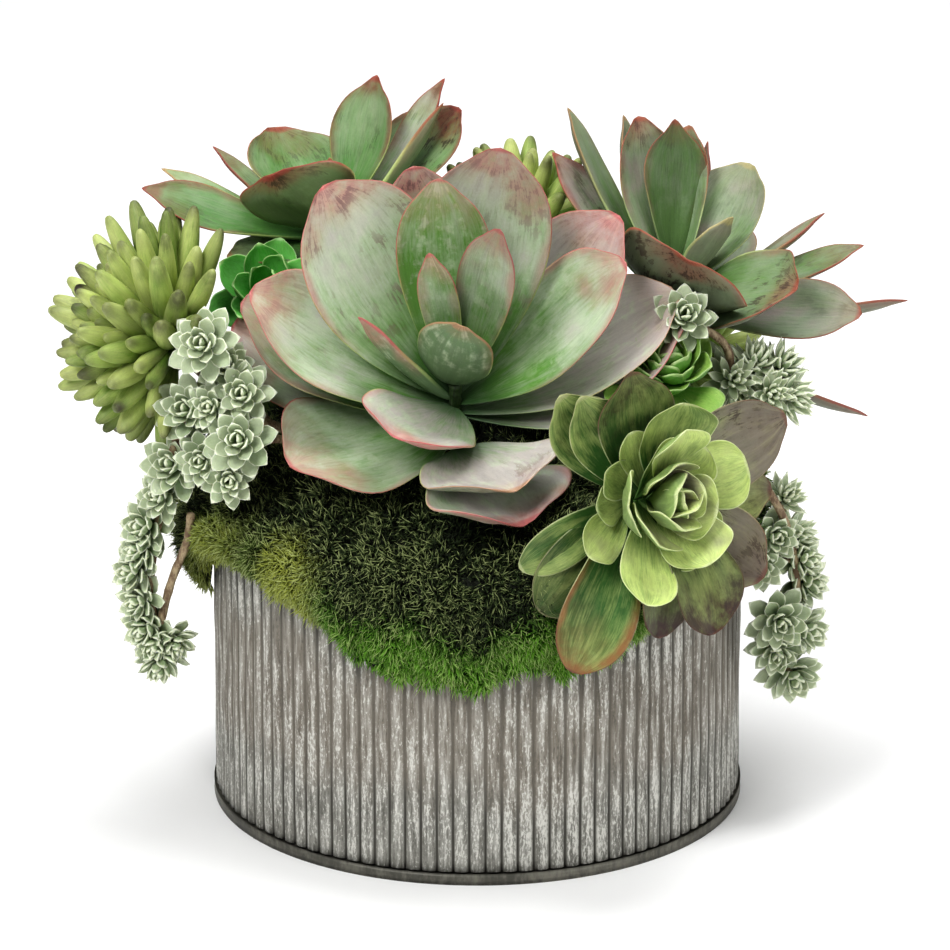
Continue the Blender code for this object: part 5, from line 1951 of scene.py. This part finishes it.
RIGHT_ROUTES = (
    ((0.082, -0.008, 0.110), (0.082, -0.008, 0.150), (0.092, -0.012, 0.158),
     (0.1054, -0.010, 0.172), (0.1159, -0.006, 0.168), (0.1191, -0.012, 0.160)),
    ((0.082, -0.008, 0.150), (0.094, -0.022, 0.148), (0.112, -0.030, 0.128),
     (0.1200, -0.026, 0.106), (0.1215, -0.028, 0.082), (0.1190, -0.030, 0.058)),
    ((0.092, -0.012, 0.158), (0.096, -0.012, 0.170), (0.093, -0.018, 0.186),
     (0.0780, -0.027, 0.199)),
)
BACK_SMALL = (
    ((0.044, 0.100, 0.1330), (0.20, 0.80, 0.50), 0.0130, SMALL),
    ((0.034, 0.114, 0.1150), (-0.10, 0.95, 0.20), 0.0130, SMALL),
    ((0.042, 0.116, 0.0960), (0.20, 0.95, 0.10), 0.0125, SMALL),
    ((0.034, 0.116, 0.0790), (-0.20, 0.95, -0.10), 0.0120, SMALL),
    ((0.038, 0.114, 0.0640), (0.10, 0.80, -0.50), 0.0110, SMALL),
)
BACK_ROUTES = (
    ((0.040, 0.080, 0.110), (0.040, 0.080, 0.136), (0.040, 0.096, 0.136), (0.038, 0.111, 0.118),
     (0.038, 0.113, 0.095), (0.038, 0.113, 0.066)),
)


def rear_rows(count: int, length: float, width: float) -> BareRows:
    """Rows of a plain rosette: two rings of outer leaves and an upright heart.

    Args:
        count: number of outer leaves.
        length: of an outer leaf.
        width: of a leaf.

    Returns:
        Rows of turn, lean, length, width and roll.
    """
    rows = []
    for number in range(count):
        ring, shift = number % 2, 2.3 * (number % 3)
        rows.append((360 * number / count + 2 * shift, 78 - 20 * ring + shift,
                     length * (1.0 - 0.12 * ring), width, 4.0))
    rows += [(22 + 117 * number, 28 + 3 * number, length * 0.55, width * 0.70, 0.0)
             for number in range(3)]
    rows += [(70 + 90 * number, 14 + 2 * number, length * 0.36, width * 0.45, 0.0)
             for number in range(4)]
    return rows


def make_plants() -> list[Rosette | FingerHead | Trailing]:
    """All the plants, front ones first.

    Returns:
        The plants, not yet built.
    """
    bud = painted(spiral_rows(18, radius=0.020, inner=8, outer=76, slim=0.95, seed=11, start=0.45),
                  (0.2, 0.35, 0.1, 0.48), 11)
    bright = painted(spiral_rows(14, radius=0.024, inner=10, outer=84, slim=0.80, seed=12,
                                 start=0.5), (0.1, 0.6, 0.1, 0.50), 12)
    rear_grey = painted(rear_rows(7, 0.046, 0.034), (0.5, 0.4, 0.4, 0.5), 13)
    rear_green = painted(rear_rows(6, 0.042, 0.030), (0.4, 0.5, 0.2, 0.5), 14)
    return [
        Rosette("echeveria_centre", PALE_FINISH, foot=(-0.008, -0.030),
                growth=(-0.0084, -0.032, 0.1593), axis=(0.0, -0.50, 0.87), column=0.024,
                leaves=((CENTRE_LEAVES, WIDE, NO_SHIFT),
                        (CENTRE_HANGING_LEAVES, HANGING, NO_SHIFT),
                        (CENTRE_HEART_LEAF, STUB, (-0.0030, 0.0, 0.0030)),
                        (CENTRE_FRONT_LEAF, WIDE, (0.0, -0.0343, -0.0016)),
                        (CENTRE_LOWEST_LEAF, WIDE, (0.0, -0.0389, -0.0028))), heart=0.005),
        Rosette("echeveria_back_left", GREEN_FINISH, foot=(-0.046, 0.030),
                growth=(-0.0535, 0.026, 0.2115), axis=(-0.12, -0.12, 0.98), column=0.010,
                leaves=((BACK_LEFT_ROUND, BROAD, NO_SHIFT),
                        (BACK_LEFT_POINTED, POINTED, NO_SHIFT))),
        Rosette("echeveria_back_right", GREY_FINISH, foot=(0.064, 0.024),
                growth=(0.074, 0.0205, 0.189), axis=(0.20, -0.05, 0.98), column=0.010,
                leaves=((BACK_RIGHT_ROUND, BROAD, NO_SHIFT),
                        (BACK_RIGHT_NEAR, BROAD, (-0.001, -0.002, -0.006)),
                        (BACK_RIGHT_POINTED, POINTED, NO_SHIFT))),
        Rosette("aeonium_front_right", AEONIUM_FINISH, foot=(0.050, -0.060),
                growth=(0.0565, -0.0795, 0.147), axis=(0.66, -0.70, 0.24), column=0.030,
                leaves=((AEONIUM_OUTER, BROAD, NO_SHIFT), (AEONIUM_ARCHED, ARCHED, NO_SHIFT),
                        (AEONIUM_CUP, SPOON, (-0.0090, -0.0030, 0.0)),
                        (AEONIUM_INNER, SPOON, NO_SHIFT)),
                heart=0.0045, stem_radius=0.0028, neck=0.004),
        Rosette("bud_rosette", BUD_FINISH, foot=(0.062, -0.018),
                growth=(0.0755, -0.0195, 0.171), axis=(0.05, -0.42, 0.90), column=0.004,
                leaves=((bud, CUPPED, (-0.0042, -0.0125, 0.0075)),
                        (BUD_COLLAR, SPOON, (-0.0036, -0.0125, 0.0040))),
                heart=0.005, grid=MID_GRID),
        Rosette("bright_rosette", EMERALD_FINISH, foot=(-0.062, 0.000),
                growth=(-0.0769, 0.005, 0.1965), axis=(-0.15, -0.70, 0.70), column=0.003,
                leaves=((bright, CUPPED, (-0.0012, -0.0056, 0.0026)),),
                heart=0.004, grid=MID_GRID),
        FingerHead("finger_sedum_left", foot=(-0.080, -0.004), head=(-0.1155, -0.012, 0.1854),
                   axis=(-0.80, -0.35, 0.30), fingers=110, length=0.051, width=0.0092,
                   spread=94, seed=21, clear=(0.48, -0.84, -0.25)),
        FingerHead("finger_sedum_back", foot=(0.016, 0.046), head=(0.0165, 0.055, 0.205),
                   axis=(0.0, -0.10, 1.0), fingers=40, length=0.040, width=0.0082,
                   spread=84, seed=22),
        Rosette("echeveria_rear", GREY_FINISH, foot=(0.006, 0.066), growth=(0.004, 0.078, 0.150),
                axis=(0.0, 0.76, 0.65), column=0.008, leaves=((rear_grey, SPOON, NO_SHIFT),)),
        Rosette("aeonium_rear", AEONIUM_FINISH, foot=(-0.052, 0.058),
                growth=(-0.068, 0.057, 0.148), axis=(-0.50, 0.70, 0.50), column=0.006,
                leaves=((rear_green, SPOON, NO_SHIFT),)),
        FingerHead("finger_sedum_rear", foot=(0.064, 0.056), head=(0.077, 0.070, 0.150),
                   axis=(0.55, 0.75, 0.40), fingers=40, length=0.040, width=0.0085,
                   spread=100, seed=23),
        Trailing("trailing_sedum_left", LEFT_ROUTES, LEFT_SMALL, 31),
        Trailing("trailing_sedum_right", RIGHT_ROUTES, RIGHT_SMALL, 41),
        Trailing("trailing_sedum_back", BACK_ROUTES, BACK_SMALL, 51),
    ]


# ---- Studio ----


@dataclass(frozen=True)
class Studio:
    """Pale floor, soft lights and the camera.

    Attributes:
        target: point that the camera looks at.
        distance: from the camera to it.
        elevation: of the camera above the horizon, degrees.
        lens: focal length on a 36 mm sensor, millimetres.
        floor: the floor's colour.
        floor_reach: half its side.
        daylight: strength of the white surroundings.
        lamps: name, place, side and watts of each square lamp.
    """

    target: Point = (-0.0009, 0.0, 0.1269)
    distance: float = 2.5
    elevation: float = 19.6
    lens: float = 247.4
    floor: Colour = (0.90, 0.90, 0.90)
    floor_reach: float = 9.0
    daylight: float = 0.32
    lamps: tuple[tuple[str, Point, float, float], ...] = (
        ("key", (-0.9, -1.3, 1.6), 0.8, 30.0), ("top", (0.2, 0.3, 1.9), 1.0, 26.0),
        ("fill", (1.5, -1.2, 0.7), 1.0, 9.0))

    def add(self, name: str, data: bpy.types.ID, place: Point = NO_SHIFT,
            turn: Point = NO_SHIFT) -> Piece:
        """Add an object to the scene.

        Args:
            name: its name.
            data: its mesh, lamp or camera.
            place: where it stands.
            turn: its rotation.

        Returns:
            The object.
        """
        item = bpy.data.objects.new(name, data)
        item.location, item.rotation_euler = place, turn
        bpy.context.scene.collection.objects.link(item)
        return item

    def build(self) -> None:
        """Add floor, surroundings, lamps and camera."""
        scene = bpy.context.scene
        scene.view_settings.view_transform = "Standard"
        scene.view_settings.look = "Medium High Contrast"
        mesh = bpy.data.meshes.new("floor")
        far = self.floor_reach
        mesh.from_pydata([(-far, -far, 0), (far, -far, 0), (far, far, 0), (-far, far, 0)], [],
                         [(0, 1, 2, 3)])
        mesh.materials.append(Coat("pale_floor").finish(self.floor, 0.95,
                                                        {"Specular IOR Level": 0.1}))
        self.add("floor", mesh)
        scene.world = bpy.data.worlds.new("studio")
        scene.world.use_nodes = True
        sky = scene.world.node_tree.nodes["Background"]
        sky.inputs["Color"].default_value = (1.0, 1.0, 1.0, 1.0)
        sky.inputs["Strength"].default_value = self.daylight
        for name, place, side, watts in self.lamps:
            self.light(name, place, side, watts)
        lens = bpy.data.cameras.new("camera")
        lens.lens, lens.sensor_width, lens.clip_end = self.lens, 36.0, 30.0
        tilt = math.radians(self.elevation)
        x, y, z = self.target
        place = (x, y - self.distance * math.cos(tilt), z + self.distance * math.sin(tilt))
        scene.camera = self.add("camera", lens, place, (math.pi / 2.0 - tilt, 0.0, 0.0))

    def light(self, name: str, place: Point, side: float, watts: float) -> None:
        """Add a square soft lamp that shines at the target.

        Args:
            name: its name.
            place: where it hangs.
            side: of the square.
            watts: its power.
        """
        lamp = bpy.data.lights.new(name, "AREA")
        lamp.size, lamp.energy = side, watts
        away = np.array(place) - np.array(self.target)
        flat = math.hypot(away[0], away[1])
        self.add(name, lamp, place, (math.atan2(flat, away[2]), 0.0,
                                     math.atan2(away[0], -away[1])))


def repaint(node: str, material: Material) -> None:
    """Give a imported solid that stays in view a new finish.

    Args:
        node: the solid.
        material: its finish.
    """
    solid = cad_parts[node]
    solid.data.materials.clear()
    solid.data.materials.append(material)


def main() -> None:
    """Build the studio, pot, moss and plants, and report each piece."""
    logging.basicConfig(level=logging.INFO, format="%(message)s")
    Studio().build()
    skin, grime = make_leaf_skin(), make_grime()
    skins = {finish.name: finish.build(skin) for finish in LEAF_FINISHES}
    bark, zinc, tufts = StemFinish().build(), ZincFinish().build(grime), MossFinish().build()
    pot, moss = Pot(), Moss()
    pieces = [pot.wall(zinc, moss), pot.rim(zinc), pot.base(DarkZincFinish().build(grime)),
              moss.body(tufts)]
    pieces += [moss.strands(zone, tufts) for zone in MOSS_ZONES]
    for plant in make_plants():
        pieces += plant.build(skins, bark)
    repaint("potting_mound", SoilFinish().build())
    for piece in pieces:
        LOG.info("%s: %d triangles", piece.name, len(piece.data.polygons))


if __name__ == "__main__":
    main()
